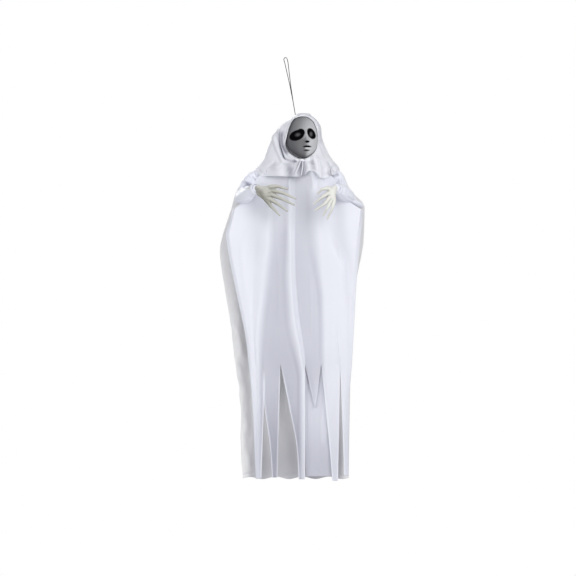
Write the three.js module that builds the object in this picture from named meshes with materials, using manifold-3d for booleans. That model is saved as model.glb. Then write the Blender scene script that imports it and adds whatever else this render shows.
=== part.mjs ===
// Hanging ghost decoration: a grey-faced figure in a white hooded robe, hung from a looped cord.
// Millimetres. +X is the viewer's right, -Y is the front, +Z is up.
// The origin is the inner top of the cord's loop, where a hook carries it.
import * as THREE from 'three';
import { mergeVertices } from 'three/addons/utils/BufferGeometryUtils.js';
import Module from 'manifold-3d';

const wasm = await Module();
wasm.setup();

// Fits
const CLEARANCE = 0.3;
const CLOTH = 1.4;

// Hanging cord
const CORD_RADIUS = 0.8;
const CORD_SIDES = 8;
const CORD_STEPS = 62;
const CROWN = new THREE.Vector3(24.5, 12, -141);
const CORD_BEND_ROOM = 0.45;
const CORD_ROUTE = [
  [24.4, 11.0, -140.5], [22.2, 9.95, -128], [19.1, 8.45, -110], [15.1, 6.8, -90],
  [11.3, 5.4, -70], [6.8, 4.0, -50], [2.2, 2.6, -30], [-1.9, 1.0, -12],
  [-4.15, 0, -3.35], [-2.93, 0, -0.42], [0, 0, 0.8], [2.93, 0, -0.42], [4.15, 0, -3.35],
  [6.1, 1.0, -12], [8.2, 2.6, -30], [10.6, 4.6, -50], [13.1, 6.6, -70],
  [16.1, 8.6, -90], [19.1, 10.35, -110], [22.2, 11.85, -128], [24.4, 12.9, -140.5],
];

// Knot and washer inside the crown
const STRAND_SPREAD = 0.95;
const CROWN_HOLE_RADIUS = 2.4;
const BOSS_RADIUS = 6;
const BOSS_LENGTH = 12;
const WASHER_RADIUS = 7;
const WASHER_THICKNESS = 1.6;
const KNOT_RADIUS = 4.5;

// Head
const HEAD_CENTRE = new THREE.Vector3(39, 0, -192);
const HEAD_YAW = 14;
const HEAD_PITCH = 8;
const HEAD_ROLL = 1.5;
const HEAD_HALF_WIDTH = 40;
const HEAD_HALF_DEPTH = 50;
const HEAD_ABOVE = 52.5;
const HEAD_BELOW = 60;
const JAW_NARROWING = 0.3;
const CHIN_FORWARD = 26;
const RELIEF_EDGE_FADE = 2.5;
const HEAD_WALL = 2.4;
const FACE_RINGS = 14;
const HEAD_SPOKES = 28;
const BACK_RINGS = 6;

// Relief of the face: [across, up, half width, half height, height out of the face]
const FACE_RELIEF = [
  [0, -9, 5.5, 13, 6], [0, -18, 6.5, 7, 7], [0, -3, 5, 9, 2],
  [-18.5, -2, 13, 10, -6.5], [18.5, -2, 13, 10, -6.5],
  [-18.5, -3, 8, 6, 4], [18.5, -3, 8, 6, 4],
  [-15, 11, 16, 6, 1.5], [15, 11, 16, 6, 1.5],
  [0, -33, 11, 3.5, 3], [0, -37, 12, 2, -1.6], [0, -41, 9, 3.5, 3],
  [-23, -22, 13, 11, 1.5], [23, -22, 13, 11, 1.5], [0, -54, 13, 8, 3],
];

// Neck
const NECK_X = 38;
const NECK_Y = 2;
const NECK_POST_RADIUS = 9.5;
const NECK_POST_TOP = -228;
const NECK_FLANGE_RADIUS = 11.5;
const NECK_FLANGE_THICKNESS = 2.5;
const NECK_SOCKET_RADIUS = 16;
const NECK_SOCKET_TOP = -262;
const NECK_SOCKET_DEPTH = 12;
const NECK_RETAINER_RADIUS = 14;
const NECK_RETAINER_THICKNESS = 2;
const SCREW_RADIUS = 1.6;
const SCREW_LENGTH = 14;
const SCREW_HEAD_RADIUS = 3.6;
const SCREW_HEAD_HEIGHT = 2.4;

// Hood and cape, ring by ring: [height, left, right, front, back]
const HOOD_TOP = new THREE.Vector3(43, -2, -135);
const HOOD_RINGS = [
  [-136.5, 29, 58, -15, 14], [-142.5, 21, 68, -28, 27], [-150, 7, 76, -37, 40],
  [-160, -8, 82.5, -44, 49], [-172, -22, 87, -47, 55], [-190, -33, 88.5, -42, 59],
  [-210, -41, 95, -38, 60], [-230, -49, 109, -42, 59], [-250, -60, 121, -51, 57],
];
const CAPE_SPLIT = 0.9;
const CAPE_RINGS = [
  [-250, -60, 121, -51, 57], [-262, -66, 127, -53, 55], [-276, -74, 133, -54, 52],
  [-290, -85, 139, -53, 49],
];
const CAPE_HEM = [
  [-85, -290], [-45, -290], [40, -294], [62, -279], [84, -295], [114, -288], [139, -290],
];
const CAPE_BACK_HEM = -296;
const CAPE_RIPPLES = 9;
const CAPE_RIPPLE_HEIGHT = 2.2;
const CAPE_SIDE_BLEND = 25;
const HOOD_SIDES = 28;
const CAPE_SIDES = 54;
const FACE_OPENING_HALF_WIDTH = 38.5;
const FACE_OPENING_HALF_HEIGHT = 55.5;
const FACE_OPENING_DROP = 4.5;
const FACE_OPENING_START = 4;
const FACE_OPENING_SHIFT = -1;
const FACE_OPENING_LENGTH = 120;

// Tie under the chin
const TIE_KNOT = new THREE.Vector3(40, -55.9, -256);
const TIE_KNOT_RADIUS = 4;
const TIE_TAIL_RADIUS = 1.2;
const TIE_TAILS = [
  [[40, -57, -258], [37, -58.4, -270], [31, -58, -283]],
  [[41, -57, -258], [40.5, -59, -271], [38.5, -58.6, -286]],
];

// Chest
const CHEST_HALF_LENGTH = 81;
const BODY_X = 24;
const CHEST_Y = 1;
const CHEST_HALF_DEPTH = 28;
const CHEST_FRONT = CHEST_Y - CHEST_HALF_DEPTH;
const CHEST_BACK = CHEST_Y + CHEST_HALF_DEPTH;
const CHEST_STATIONS = [
  [-1, 8, -311, 19, 17], [-0.6, 2, -304, 25, 22], [0, CHEST_Y, -300, CHEST_HALF_DEPTH, 26],
  [0.6, 2, -304, 25, 22], [1, 8, -311, 19, 17],
];

// Arms: [X, middle Y, middle Z, half depth, half height]
const SLEEVE_SIDES = 16;
const LEFT_SLEEVE = [
  [-60, 8, -312, 18, 19], [-80, 8, -317, 18, 23], [-97, 8, -325, 18, 27],
  [-110, 8, -333, 18, 28], [-119, 8, -341, 13, 20], [-126, 8, -348, 6, 9],
];
const RIGHT_SLEEVE = [
  [108, 8, -312, 18, 19], [128, 8, -316, 18, 22], [146, 8, -322, 18, 25],
  [160, 8, -334, 18, 24], [174, 8, -346, 13, 17], [186, 8, -355, 6, 8],
];
const PAD_REACH = 34;
const PAD_BLOCK = 60;
const WIRE_RADIUS = 1.6;
const WIRE_SIDES = 8;
const ELBOW_Y = -10;
const ELBOW_Z = -346;
const LEFT_ELBOW_X = -113;
const RIGHT_ELBOW_X = 166;
const LEFT_WRIST = new THREE.Vector3(-66, -95, -320);
const RIGHT_WRIST = new THREE.Vector3(118.6, -90, -320);
const ARMHOLE_RADIUS = 20;
const ARMHOLE_DEPTH = 6;
const ARMHOLE_TURN = 75;
const ARMHOLE_CUT_LENGTH = 60;
const SLEEVE_MOUTH_SPARE = 10;
const PIN_HALF_LENGTH = 5;
const WIRE_BEND_START = 5;
const WIRE_BEND_END = 13;
const WIRE_BEND_DROP = 4;
const PAD_LEAD = 7;
const FOREARM_SLEEVE_START = 15;
const FOREARM_SLEEVE_RADIUS = 17;
const FOREARM_MIDDLE_RADIUS = 16;
const CUFF_RADIUS = 12;
const CUFF_GAP = 12;
const CUFF_BAND_WIDTH = 6;
const CUFF_BAND_THICKNESS = 1.2;
const FOREARM_PAD_START = 28;
const PAD_SHORTER = 4;
const HAND_STUB_RADIUS = 6;
const HAND_STUB_LENGTH = 14;
const HAND_SOCKET_DEPTH = 10;

// Hands: palms as [x, y, z, half width, half thickness], fingers as [x, y, z, radius]
const PALM_SIDES = 12;
const FINGER_SIDES = 8;
const LEFT_PALM = [
  [-66, -95, -320, 7, 6], [-55, -97, -328, 12, 6.5], [-42, -97, -336, 15, 5],
];
const LEFT_FINGERS = [
  [[-52, -97, -321, 4], [-28, -101, -312, 3], [5, -94, -320, 1.7]],
  [[-42, -97, -327, 3.4], [-8, -102, -332, 2.7], [25, -96, -344, 1.6]],
  [[-42, -97, -337, 3.4], [-6, -102, -347, 2.7], [23.5, -95, -360, 1.6]],
  [[-44, -97, -345, 3.3], [-17, -101, -360, 2.6], [5, -94, -375, 1.5]],
  [[-49, -96, -348, 3.1], [-30, -100, -367, 2.4], [-14, -93, -386, 1.4]],
];
const RIGHT_PALM = [
  [118.6, -90, -320, 7, 6], [117, -94, -331, 10, 6.5], [113, -96, -344, 10, 5.5],
];
const RIGHT_FINGERS = [
  [[110, -93, -323, 3.8], [91, -99, -326, 2.9], [77, -92, -335, 1.7]],
  [[109, -96, -338, 3.4], [90, -101, -346, 2.7], [69, -93, -359, 1.6]],
  [[110, -97, -344, 3.4], [97, -104, -362, 2.7], [74, -95, -373, 1.6]],
  [[114, -97, -347, 3.3], [104, -103, -368, 2.6], [91, -94, -394, 1.5]],
  [[119, -95, -346, 3.1], [112, -100, -370, 2.4], [102, -92, -390, 1.4]],
];

// Robe
const STRIP_TOP = -750;
const ROBE_BEND = -430;
const ROBE_BOTTOM = -1030;
const YOKE_ROWS = 5;
const SKIRT_ROWS = 9;
const STRIP_ROWS = 8;
const FRONT_TOP = [
  [0, -130, -374], [0.12, -100, -366], [0.2, -80, -356], [0.25, -62, -343],
  [0.28, -56, -300], [0.31, -50, -283], [0.5, 24, -281], [0.69, 98, -283],
  [0.72, 104, -300], [0.75, 111, -343], [0.8, 128, -354], [0.88, 156, -364], [1, 190, -376],
];
const FRONT_LEFT = [
  [-374, -130], [-430, -146], [-470, -141], [-568, -121.5], [-703, -94.6], [-750, -90],
];
const FRONT_RIGHT = [
  [-376, 190], [-430, 184], [-470, 180], [-568, 172], [-642, 168], [-750, 162],
];
const STRIPS = [
  { columns: 3, bottom: -1029, left: [[-750, -90], [-838, -82], [-1029, -73]],
    right: [[-750, -53], [-820, -53], [-1029, -59]] },
  { columns: 4, bottom: -1026, left: [[-750, -53], [-820, -53], [-960, -37], [-1026, -33]],
    right: [[-750, -12.5], [-1026, -20]] },
  { columns: 5, bottom: -1030, left: [[-750, -12.5], [-850, 8], [-960, 28], [-1030, 32]],
    right: [[-750, 47.5], [-1030, 47.5]] },
  { columns: 3, bottom: -855, left: [[-750, 47.5], [-855, 71]],
    right: [[-750, 87], [-855, 73]] },
  { columns: 4, bottom: -1034, left: [[-750, 87], [-960, 108], [-1034, 114]],
    right: [[-750, 133], [-1034, 128]] },
  { columns: 3, bottom: -1022, left: [[-750, 133], [-1022, 143]],
    right: [[-750, 162], [-838, 155], [-1022, 154]] },
];
const FRONT_DEPTH = [
  [-300, CHEST_FRONT - CLEARANCE - CLOTH / 2], [-430, -38], [-750, -36], [-1034, -28],
];
const FRONT_EDGE_DEPTH = [[-374, 20], [-430, 20], [-560, 2], [-750, -6], [-1034, -12]];
const EDGE_TURN = 0.16;
const BACK_LEFT = [
  [-296, -95], [-323, -119], [-372, -134], [-446, -157], [-470, -161], [-568, -148.5],
  [-642, -136], [-764, -121.5], [-838, -112], [-960, -109], [-1034, -104],
];
const BACK_RIGHT = [
  [-296, 145], [-323, 160], [-365, 194.5], [-446, 192], [-544, 175], [-642, 168],
  [-764, 160], [-1034, 155],
];
const BACK_DEPTH = [
  [-300, CHEST_BACK + CLEARANCE + CLOTH / 2], [-430, 30], [-750, 27], [-1034, 25],
];
const BACK_TOP = -300;
const BACK_TOP_RISE = 13;
const BACK_TOP_RISE_FROM = 0.22;
const BACK_TOP_RISE_TO = 0.38;
const BACK_BOTTOM = -1030;
const BACK_COLUMNS = 20;
const BACK_ROWS = 15;
const HEM_WAVE = 3;
const HEM_WAVES = 4;

// Folds: [top X, top Z, bottom X, bottom Z, reach to the left, reach to the right, height]
const FRONT_FOLDS = [
  [12, -330, 49, -790, 36, 11, 10], [-12, -370, -16, -790, 30, 28, -7],
  [40, -370, 82, -790, 18, 34, -7], [-75, -390, -52, -790, 30, 34, 6],
  [105, -390, 113, -790, 26, 26, 6], [152, -430, 146, -790, 16, 16, 4],
];
const BACK_FOLDS = [
  [-100, -420, -85, -1000, 22, 22, 6], [-45, -330, -40, -1000, 26, 22, 7],
  [20, -370, 25, -1000, 24, 24, 7], [85, -330, 80, -1000, 24, 26, 7],
  [140, -420, 128, -1000, 18, 18, 6],
];
const FOLD_FADE = 60;

// Colours as seen in plain light
const FINISH = {
  cord: { color: 0x16161a, roughness: 0.7 },
  robe: { color: 0xe6e8f0, roughness: 0.45 },
  hood: { color: 0xdcdee8, roughness: 0.5 },
  face: { color: 0x838386, roughness: 0.55 },
  hand: { color: 0xdcdbd2, roughness: 0.5 },
  plastic: { color: 0xe2e2e0, roughness: 0.4 },
  wire: { color: 0x9a9c9e, roughness: 0.35, metalness: 0.9 },
  foam: { color: 0xf2f2ee, roughness: 0.95 },
};

const ghost = new THREE.Group();

function addPart(name, shape, finish) {
  const geometry = shape.isBufferGeometry ? shape : toGeometry(shape);
  const mesh = new THREE.Mesh(geometry, new THREE.MeshStandardMaterial(FINISH[finish]));
  mesh.name = name;
  ghost.add(mesh);
}

// Solids: conversion between closed geometry and solids that can be joined and cut
function toSolid(geometry) {
  const bare = geometry.clone();
  bare.deleteAttribute('normal');
  bare.deleteAttribute('uv');
  const merged = mergeVertices(bare, 1e-4);
  return new wasm.Manifold(new wasm.Mesh({
    numProp: 3,
    vertProperties: new Float32Array(merged.attributes.position.array),
    triVerts: new Uint32Array(merged.index.array),
  }));
}

function toGeometry(solid) {
  const mesh = solid.getMesh();
  const geometry = new THREE.BufferGeometry();
  geometry.setAttribute('position', new THREE.BufferAttribute(mesh.vertProperties, 3));
  geometry.setIndex(Array.from(mesh.triVerts));
  return geometry;
}

function signedVolume(points, triangles) {
  let volume = 0;
  for (const [a, b, c] of triangles) {
    volume += points[a].dot(new THREE.Vector3().crossVectors(points[b], points[c])) / 6;
  }
  return volume;
}

function closedGeometry(points, triangles) {
  const outward = signedVolume(points, triangles) > 0;
  const geometry = new THREE.BufferGeometry();
  const values = points.flatMap((p) => [p.x, p.y, p.z]);
  geometry.setAttribute('position', new THREE.Float32BufferAttribute(values, 3));
  geometry.setIndex(triangles.flatMap(([a, b, c]) => (outward ? [a, b, c] : [a, c, b])));
  return geometry;
}

// Surfaces: points with triangles, where points that coincide are one point
function weld(points, faces) {
  const seen = new Map();
  const kept = [];
  const source = [];
  const number = points.map((point, index) => {
    const key = point.toArray().map((value) => Math.round(value * 1000)).join();
    if (!seen.has(key)) {
      seen.set(key, kept.length);
      kept.push(point);
      source.push(index);
    }
    return seen.get(key);
  });
  const triangles = faces.map((face) => face.map((index) => number[index]));
  return { points: kept, source, triangles: triangles.filter(([a, b, c]) => a !== b && b !== c && a !== c) };
}

function gridFaces(columns, rows, first = 0) {
  const faces = [];
  for (let row = 0; row < rows; row += 1) {
    for (let column = 0; column < columns; column += 1) {
      const a = first + row * (columns + 1) + column;
      const below = a + columns + 1;
      faces.push([a, below, a + 1], [a + 1, below, below + 1]);
    }
  }
  return faces;
}

function gridPoints(columns, rows, pointAt) {
  const points = [];
  for (let row = 0; row <= rows; row += 1) {
    for (let column = 0; column <= columns; column += 1) {
      points.push(pointAt(column / columns, row / rows));
    }
  }
  return points;
}

// A closed body between two matching surfaces, with walls along their open edges
function solidBetween(front, back, triangles) {
  const edges = new Set();
  for (const [a, b, c] of triangles) {
    edges.add(`${a},${b}`).add(`${b},${c}`).add(`${c},${a}`);
  }
  const offset = front.length;
  const faces = [...triangles];
  for (const [a, b, c] of triangles) {
    faces.push([c + offset, b + offset, a + offset]);
    for (const [from, to] of [[a, b], [b, c], [c, a]]) {
      if (!edges.has(`${to},${from}`)) {
        faces.push([to, from, from + offset], [to, from + offset, to + offset]);
      }
    }
  }
  return closedGeometry([...front, ...back], faces);
}

function thicken(surface, thickness) {
  const { points, triangles } = weld(surface.points, surface.faces);
  const normals = points.map(() => new THREE.Vector3());
  for (const [a, b, c] of triangles) {
    const side = new THREE.Vector3().subVectors(points[b], points[a]);
    side.cross(new THREE.Vector3().subVectors(points[c], points[a]));
    for (const corner of [a, b, c]) {
      normals[corner].add(side);
    }
  }
  normals.forEach((normal) => normal.normalize());
  const half = thickness / 2;
  const front = points.map((p, i) => p.clone().addScaledVector(normals[i], half));
  const back = points.map((p, i) => p.clone().addScaledVector(normals[i], -half));
  return solidBetween(front, back, triangles);
}

// A closed body through a row of rings, with flat ends
function loft(rings) {
  const sides = rings[0].length;
  const points = rings.flat();
  const faces = [];
  for (let ring = 0; ring + 1 < rings.length; ring += 1) {
    for (let side = 0; side < sides; side += 1) {
      const a = ring * sides + side;
      const b = ring * sides + ((side + 1) % sides);
      faces.push([a, b, a + sides], [b, b + sides, a + sides]);
    }
  }
  for (const [ring, turn] of [[0, false], [rings.length - 1, true]]) {
    const centre = points.length;
    const sum = new THREE.Vector3();
    rings[ring].forEach((point) => sum.add(point));
    points.push(sum.divideScalar(sides));
    for (let side = 0; side < sides; side += 1) {
      const a = ring * sides + side;
      const b = ring * sides + ((side + 1) % sides);
      faces.push(turn ? [a, b, centre] : [b, a, centre]);
    }
  }
  return closedGeometry(points, faces);
}

function ovalRing(centre, axisA, axisB, radiusA, radiusB, sides) {
  const ring = [];
  for (let side = 0; side < sides; side += 1) {
    const angle = (2 * Math.PI * side) / sides;
    ring.push(centre.clone()
      .addScaledVector(axisA, radiusA * Math.cos(angle))
      .addScaledVector(axisB, radiusB * Math.sin(angle)));
  }
  return ring;
}

function roundAt(at, radius) {
  return { at, a: radius, b: radius };
}

// A limb through stations {at, a, b}: half sizes along a given side axis and across it
function limb(stations, sideAxis, sides) {
  const last = stations.length - 1;
  return loft(stations.map(({ at, a, b }, index) => {
    const before = stations[Math.max(index - 1, 0)].at;
    const after = stations[Math.min(index + 1, last)].at;
    const along = new THREE.Vector3().subVectors(after, before).normalize();
    const across = sideAxis.clone().addScaledVector(along, -sideAxis.dot(along)).normalize();
    return ovalRing(at, across, new THREE.Vector3().crossVectors(along, across), a, b, sides);
  }));
}

function tube(points, radius, sides, steps) {
  const corners = [];
  for (let side = 0; side < sides; side += 1) {
    const angle = (2 * Math.PI * side) / sides;
    corners.push(new THREE.Vector2(radius * Math.cos(angle), radius * Math.sin(angle)));
  }
  const path = new THREE.CatmullRomCurve3(points, false, 'centripetal');
  return new THREE.ExtrudeGeometry(new THREE.Shape(corners), { steps, extrudePath: path });
}

function cylinder(x, y, low, high, radius, sides = 24) {
  const shape = new THREE.CylinderGeometry(radius, radius, high - low, sides);
  shape.rotateX(Math.PI / 2);
  return toSolid(shape.translate(x, y, (low + high) / 2));
}

function ball(centre, radiusX, radiusY, radiusZ) {
  const shape = new THREE.SphereGeometry(1, 12, 8);
  shape.scale(radiusX, radiusY, radiusZ);
  return toSolid(shape.translate(centre.x, centre.y, centre.z));
}

function vectors(rows) {
  return rows.map(([x, y, z]) => new THREE.Vector3(x, y, z));
}

// Reads a table of [height, value] rows that runs downwards
function tableAt(table, height) {
  if (height >= table[0][0]) {
    return table[0][1];
  }
  for (let row = 1; row < table.length; row += 1) {
    const [lowZ, lowValue] = table[row];
    const [highZ, highValue] = table[row - 1];
    if (height >= lowZ) {
      return THREE.MathUtils.mapLinear(height, highZ, lowZ, highValue, lowValue);
    }
  }
  return table[table.length - 1][1];
}

// Hanging cord: up one strand, round the loop and down the other
function hangingCord() {
  return tube(vectors(CORD_ROUTE), CORD_RADIUS, CORD_SIDES, CORD_STEPS);
}

function bossFloor() {
  return CROWN.z - BOSS_LENGTH;
}

function crownKnot() {
  const top = CROWN.z - CORD_BEND_ROOM;
  const washerBottom = bossFloor() - CLEARANCE - WASHER_THICKNESS;
  const knotZ = washerBottom - CLEARANCE - KNOT_RADIUS;
  let knot = ball(new THREE.Vector3(CROWN.x, CROWN.y, knotZ), KNOT_RADIUS, KNOT_RADIUS, KNOT_RADIUS);
  for (const side of [-1, 1]) {
    const y = CROWN.y + side * STRAND_SPREAD;
    knot = knot.add(cylinder(CROWN.x, y, knotZ, top, CORD_RADIUS, CORD_SIDES));
  }
  return knot;
}

function knotWasher() {
  const top = bossFloor() - CLEARANCE;
  const hole = STRAND_SPREAD + CORD_RADIUS + CLEARANCE;
  return cylinder(CROWN.x, CROWN.y, top - WASHER_THICKNESS, top, WASHER_RADIUS)
    .subtract(cylinder(CROWN.x, CROWN.y, top - WASHER_THICKNESS - 1, top + 1, hole, 12));
}

// Head: a hollow egg with a face in relief, in two shells
const headTurn = new THREE.Matrix4().makeTranslation(HEAD_CENTRE)
  .multiply(new THREE.Matrix4().makeRotationZ(THREE.MathUtils.degToRad(HEAD_YAW)))
  .multiply(new THREE.Matrix4().makeRotationY(THREE.MathUtils.degToRad(HEAD_ROLL)))
  .multiply(new THREE.Matrix4().makeRotationX(THREE.MathUtils.degToRad(-HEAD_PITCH)));

function faceRelief(x, z) {
  return FACE_RELIEF.reduce((sum, [cx, cz, wide, tall, height]) => {
    const u = (x - cx) / wide;
    const v = (z - cz) / tall;
    return sum + height * Math.exp(-2 * (u * u + v * v));
  }, 0);
}

function headPoint(way, inset) {
  const low = Math.max(0, -way.z);
  const across = (HEAD_HALF_WIDTH - inset) * way.x * (1 - JAW_NARROWING * low * low);
  const height = ((way.z > 0 ? HEAD_ABOVE : HEAD_BELOW) - inset) * way.z;
  let depth = (HEAD_HALF_DEPTH - inset) * way.y - CHIN_FORWARD * low * low;
  if (way.y < 0) {
    depth -= faceRelief(across, height) * Math.min(1, RELIEF_EDGE_FADE * way.y * way.y);
  }
  return new THREE.Vector3(across, depth, height);
}

function headShell(front, rings, seam) {
  const sign = front ? -1 : 1;
  const wayAt = (u, v) => {
    const open = (v * Math.PI) / 2;
    const spin = 2 * Math.PI * u;
    return new THREE.Vector3(
      Math.sin(open) * Math.cos(spin), sign * Math.cos(open), Math.sin(open) * Math.sin(spin));
  };
  const surface = (inset) => gridPoints(HEAD_SPOKES, rings, (u, v) => {
    const point = headPoint(wayAt(u, v), inset);
    point.y += sign * seam;
    return point.applyMatrix4(headTurn);
  });
  const outer = weld(surface(0), gridFaces(HEAD_SPOKES, rings));
  const inner = surface(HEAD_WALL);
  return toSolid(solidBetween(outer.points, outer.source.map((index) => inner[index]), outer.triangles));
}

function headSolid(inset) {
  const points = gridPoints(HEAD_SPOKES, 2 * BACK_RINGS, (u, v) => {
    const open = v * Math.PI;
    const spin = 2 * Math.PI * u;
    const way = new THREE.Vector3(
      Math.sin(open) * Math.cos(spin), -Math.cos(open), Math.sin(open) * Math.sin(spin));
    return headPoint(way, inset).applyMatrix4(headTurn);
  });
  const surface = weld(points, gridFaces(HEAD_SPOKES, 2 * BACK_RINGS));
  return toSolid(closedGeometry(surface.points, surface.triangles));
}

function neckBore(radius, low, high) {
  return cylinder(NECK_X, NECK_Y, low, high, radius);
}

function crownBore(radius) {
  return cylinder(CROWN.x, CROWN.y, bossFloor() - 1, HOOD_TOP.z + 5, radius, 16);
}

function headBackShell() {
  const boss = cylinder(CROWN.x, CROWN.y, bossFloor(), CROWN.z + 5, BOSS_RADIUS)
    .intersect(headSolid(1));
  return headShell(false, BACK_RINGS, CLEARANCE / 2)
    .add(boss)
    .subtract(crownBore(CROWN_HOLE_RADIUS))
    .subtract(neckBore(NECK_POST_RADIUS + CLEARANCE, NECK_SOCKET_TOP, NECK_POST_TOP));
}

function faceShell() {
  return headShell(true, FACE_RINGS, CLEARANCE / 2)
    .subtract(neckBore(NECK_POST_RADIUS + CLEARANCE, NECK_SOCKET_TOP, NECK_POST_TOP));
}

// Neck: a post in the head turns in a socket in the chest and is kept there by a disc
const socketBottom = NECK_SOCKET_TOP - NECK_SOCKET_DEPTH;
const retainerTop = socketBottom - CLEARANCE;
const retainerBottom = retainerTop - NECK_RETAINER_THICKNESS;

function neckPost() {
  const flangeBottom = NECK_POST_TOP - NECK_FLANGE_THICKNESS;
  return neckBore(NECK_POST_RADIUS, retainerTop + CLEARANCE, NECK_POST_TOP)
    .add(neckBore(NECK_FLANGE_RADIUS, flangeBottom, NECK_POST_TOP))
    .subtract(neckBore(SCREW_RADIUS + CLEARANCE, retainerBottom, retainerBottom + SCREW_LENGTH + 1));
}

function neckRetainer() {
  return neckBore(NECK_RETAINER_RADIUS, retainerBottom, retainerTop)
    .subtract(neckBore(SCREW_RADIUS + CLEARANCE, retainerBottom - 1, retainerTop + 1));
}

function neckScrew() {
  const underHead = retainerBottom - CLEARANCE;
  return neckBore(SCREW_RADIUS, underHead, underHead + SCREW_LENGTH)
    .add(neckBore(SCREW_HEAD_RADIUS, underHead - SCREW_HEAD_HEIGHT, underHead));
}

function neckSocket() {
  return neckBore(NECK_SOCKET_RADIUS, socketBottom, NECK_SOCKET_TOP)
    .subtract(neckBore(NECK_POST_RADIUS + CLEARANCE, socketBottom - 1, NECK_SOCKET_TOP + 1));
}

// Hood and cape
function drapePoint([height, left, right, front, back], turn, ripple) {
  const angle = 2 * Math.PI * turn;
  const inset = CLOTH / 2 - ripple * Math.cos(CAPE_RIPPLES * angle);
  const halfWidth = (right - left) / 2 - inset;
  const side = Math.sin(angle);
  const depth = side > 0 ? back - inset : -front - inset;
  return new THREE.Vector3((left + right) / 2 + halfWidth * Math.cos(angle), depth * side, height);
}

function hood() {
  const rows = HOOD_RINGS.length;
  const points = gridPoints(HOOD_SIDES, rows, (u, v) => {
    const ring = Math.round(v * rows);
    return ring === 0 ? HOOD_TOP.clone() : drapePoint(HOOD_RINGS[ring - 1], u, 0);
  });
  const opening = new THREE.CylinderGeometry(1, 1, FACE_OPENING_LENGTH, 40);
  opening.scale(FACE_OPENING_HALF_WIDTH, 1, FACE_OPENING_HALF_HEIGHT);
  opening.translate(
    FACE_OPENING_SHIFT, -FACE_OPENING_LENGTH / 2 - FACE_OPENING_START, -FACE_OPENING_DROP);
  opening.applyMatrix4(headTurn);
  return toSolid(thicken({ points, faces: gridFaces(HOOD_SIDES, rows) }, CLOTH))
    .subtract(toSolid(opening))
    .subtract(headSolid(-CLEARANCE))
    .subtract(crownBore(CROWN_HOLE_RADIUS));
}

function cape() {
  const rows = CAPE_RINGS.length - 1;
  const points = gridPoints(CAPE_SIDES, rows, (u, v) => {
    const point = drapePoint(CAPE_RINGS[Math.round(v * rows)], u, CAPE_RIPPLE_HEIGHT * v);
    const hem = point.y > 0 ? CAPE_BACK_HEM : hemHeight(point.x);
    const sideShare = Math.min(1, Math.abs(point.y) / CAPE_SIDE_BLEND);
    const drop = (hem - CAPE_RINGS[rows][0]) * v * sideShare;
    point.z += drop - CAPE_SPLIT * (1 - v);
    return point;
  });
  return toSolid(thicken({ points, faces: gridFaces(CAPE_SIDES, rows) }, CLOTH));
}

function hemHeight(x) {
  const downwards = CAPE_HEM.map(([hemX, hemZ]) => [-hemX, hemZ]);
  return tableAt(downwards, -x);
}

function chinTie() {
  let tie = ball(TIE_KNOT, TIE_KNOT_RADIUS + 1, TIE_KNOT_RADIUS, TIE_KNOT_RADIUS);
  for (const tail of TIE_TAILS) {
    tie = tie.add(toSolid(tube(vectors(tail), TIE_TAIL_RADIUS, 6, 6)));
  }
  return tie;
}

// Chest and arms
function stationRings(stations, inset, sides) {
  const depthAxis = new THREE.Vector3(0, 1, 0);
  const upAxis = new THREE.Vector3(0, 0, 1);
  return stations.map(([x, y, z, depth, height]) => ovalRing(
    new THREE.Vector3(x, y, z), depthAxis, upAxis, depth - inset, height - inset, sides));
}

function shoulderPoints() {
  return vectors([
    [LEFT_ELBOW_X + 2 * WIRE_RADIUS, ELBOW_Y + 1, ELBOW_Z],
    [-97, 0, -332], [-80, 6, -320], [-56, 8, -311], [-15, 8, -303], [BODY_X, 8, -301],
    [63, 8, -303], [104, 8, -311], [128, 6, -320], [147, 0, -332],
    [RIGHT_ELBOW_X - 2 * WIRE_RADIUS, ELBOW_Y + 1, ELBOW_Z],
  ]);
}

function shoulderTube(radius) {
  return toSolid(tube(shoulderPoints(), radius, WIRE_SIDES, 26));
}

function shoulderWire() {
  let wire = shoulderTube(WIRE_RADIUS);
  for (const x of [LEFT_ELBOW_X, RIGHT_ELBOW_X]) {
    const eye = new THREE.TorusGeometry(2 * WIRE_RADIUS + CLEARANCE, WIRE_RADIUS, 6, 12);
    wire = wire.add(toSolid(eye.translate(x, ELBOW_Y, ELBOW_Z)));
    wire = wire.subtract(cylinder(x, ELBOW_Y, ELBOW_Z - 4, ELBOW_Z + 4, WIRE_RADIUS + CLEARANCE, 16));
  }
  return wire;
}

function chestForm() {
  const stations = CHEST_STATIONS.map(([share, ...rest]) => [BODY_X + share * CHEST_HALF_LENGTH, ...rest]);
  const cavityRadius = NECK_RETAINER_RADIUS + 2 * CLEARANCE;
  const cavityBottom = retainerBottom - 2 * SCREW_HEAD_HEIGHT;
  return toSolid(loft(stationRings(stations, 0, SLEEVE_SIDES)))
    .subtract(neckBore(NECK_SOCKET_RADIUS + CLEARANCE, socketBottom - CLEARANCE, NECK_POST_TOP))
    .subtract(neckBore(cavityRadius, cavityBottom, NECK_POST_TOP))
    .subtract(shoulderTube(WIRE_RADIUS + CLEARANCE));
}

// Outer shell of an upper sleeve, open at the shoulder and at the armhole of the elbow
function upperSleeve(stations, elbowX, side) {
  const outer = toSolid(loft(stationRings(stations, 0, SLEEVE_SIDES)));
  const first = [...stations[0]];
  first[0] -= side * SLEEVE_MOUTH_SPARE;
  const inner = toSolid(loft(stationRings([first, ...stations], CLOTH, SLEEVE_SIDES)));
  const hole = new THREE.CylinderGeometry(ARMHOLE_RADIUS, ARMHOLE_RADIUS, ARMHOLE_CUT_LENGTH, 24);
  hole.translate(0, ARMHOLE_CUT_LENGTH / 2 - ARMHOLE_DEPTH, 0);
  hole.rotateZ(THREE.MathUtils.degToRad(180 - side * (90 - ARMHOLE_TURN)));
  hole.translate(elbowX, ELBOW_Y, ELBOW_Z);
  return outer.subtract(inner).subtract(toSolid(hole));
}

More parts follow.
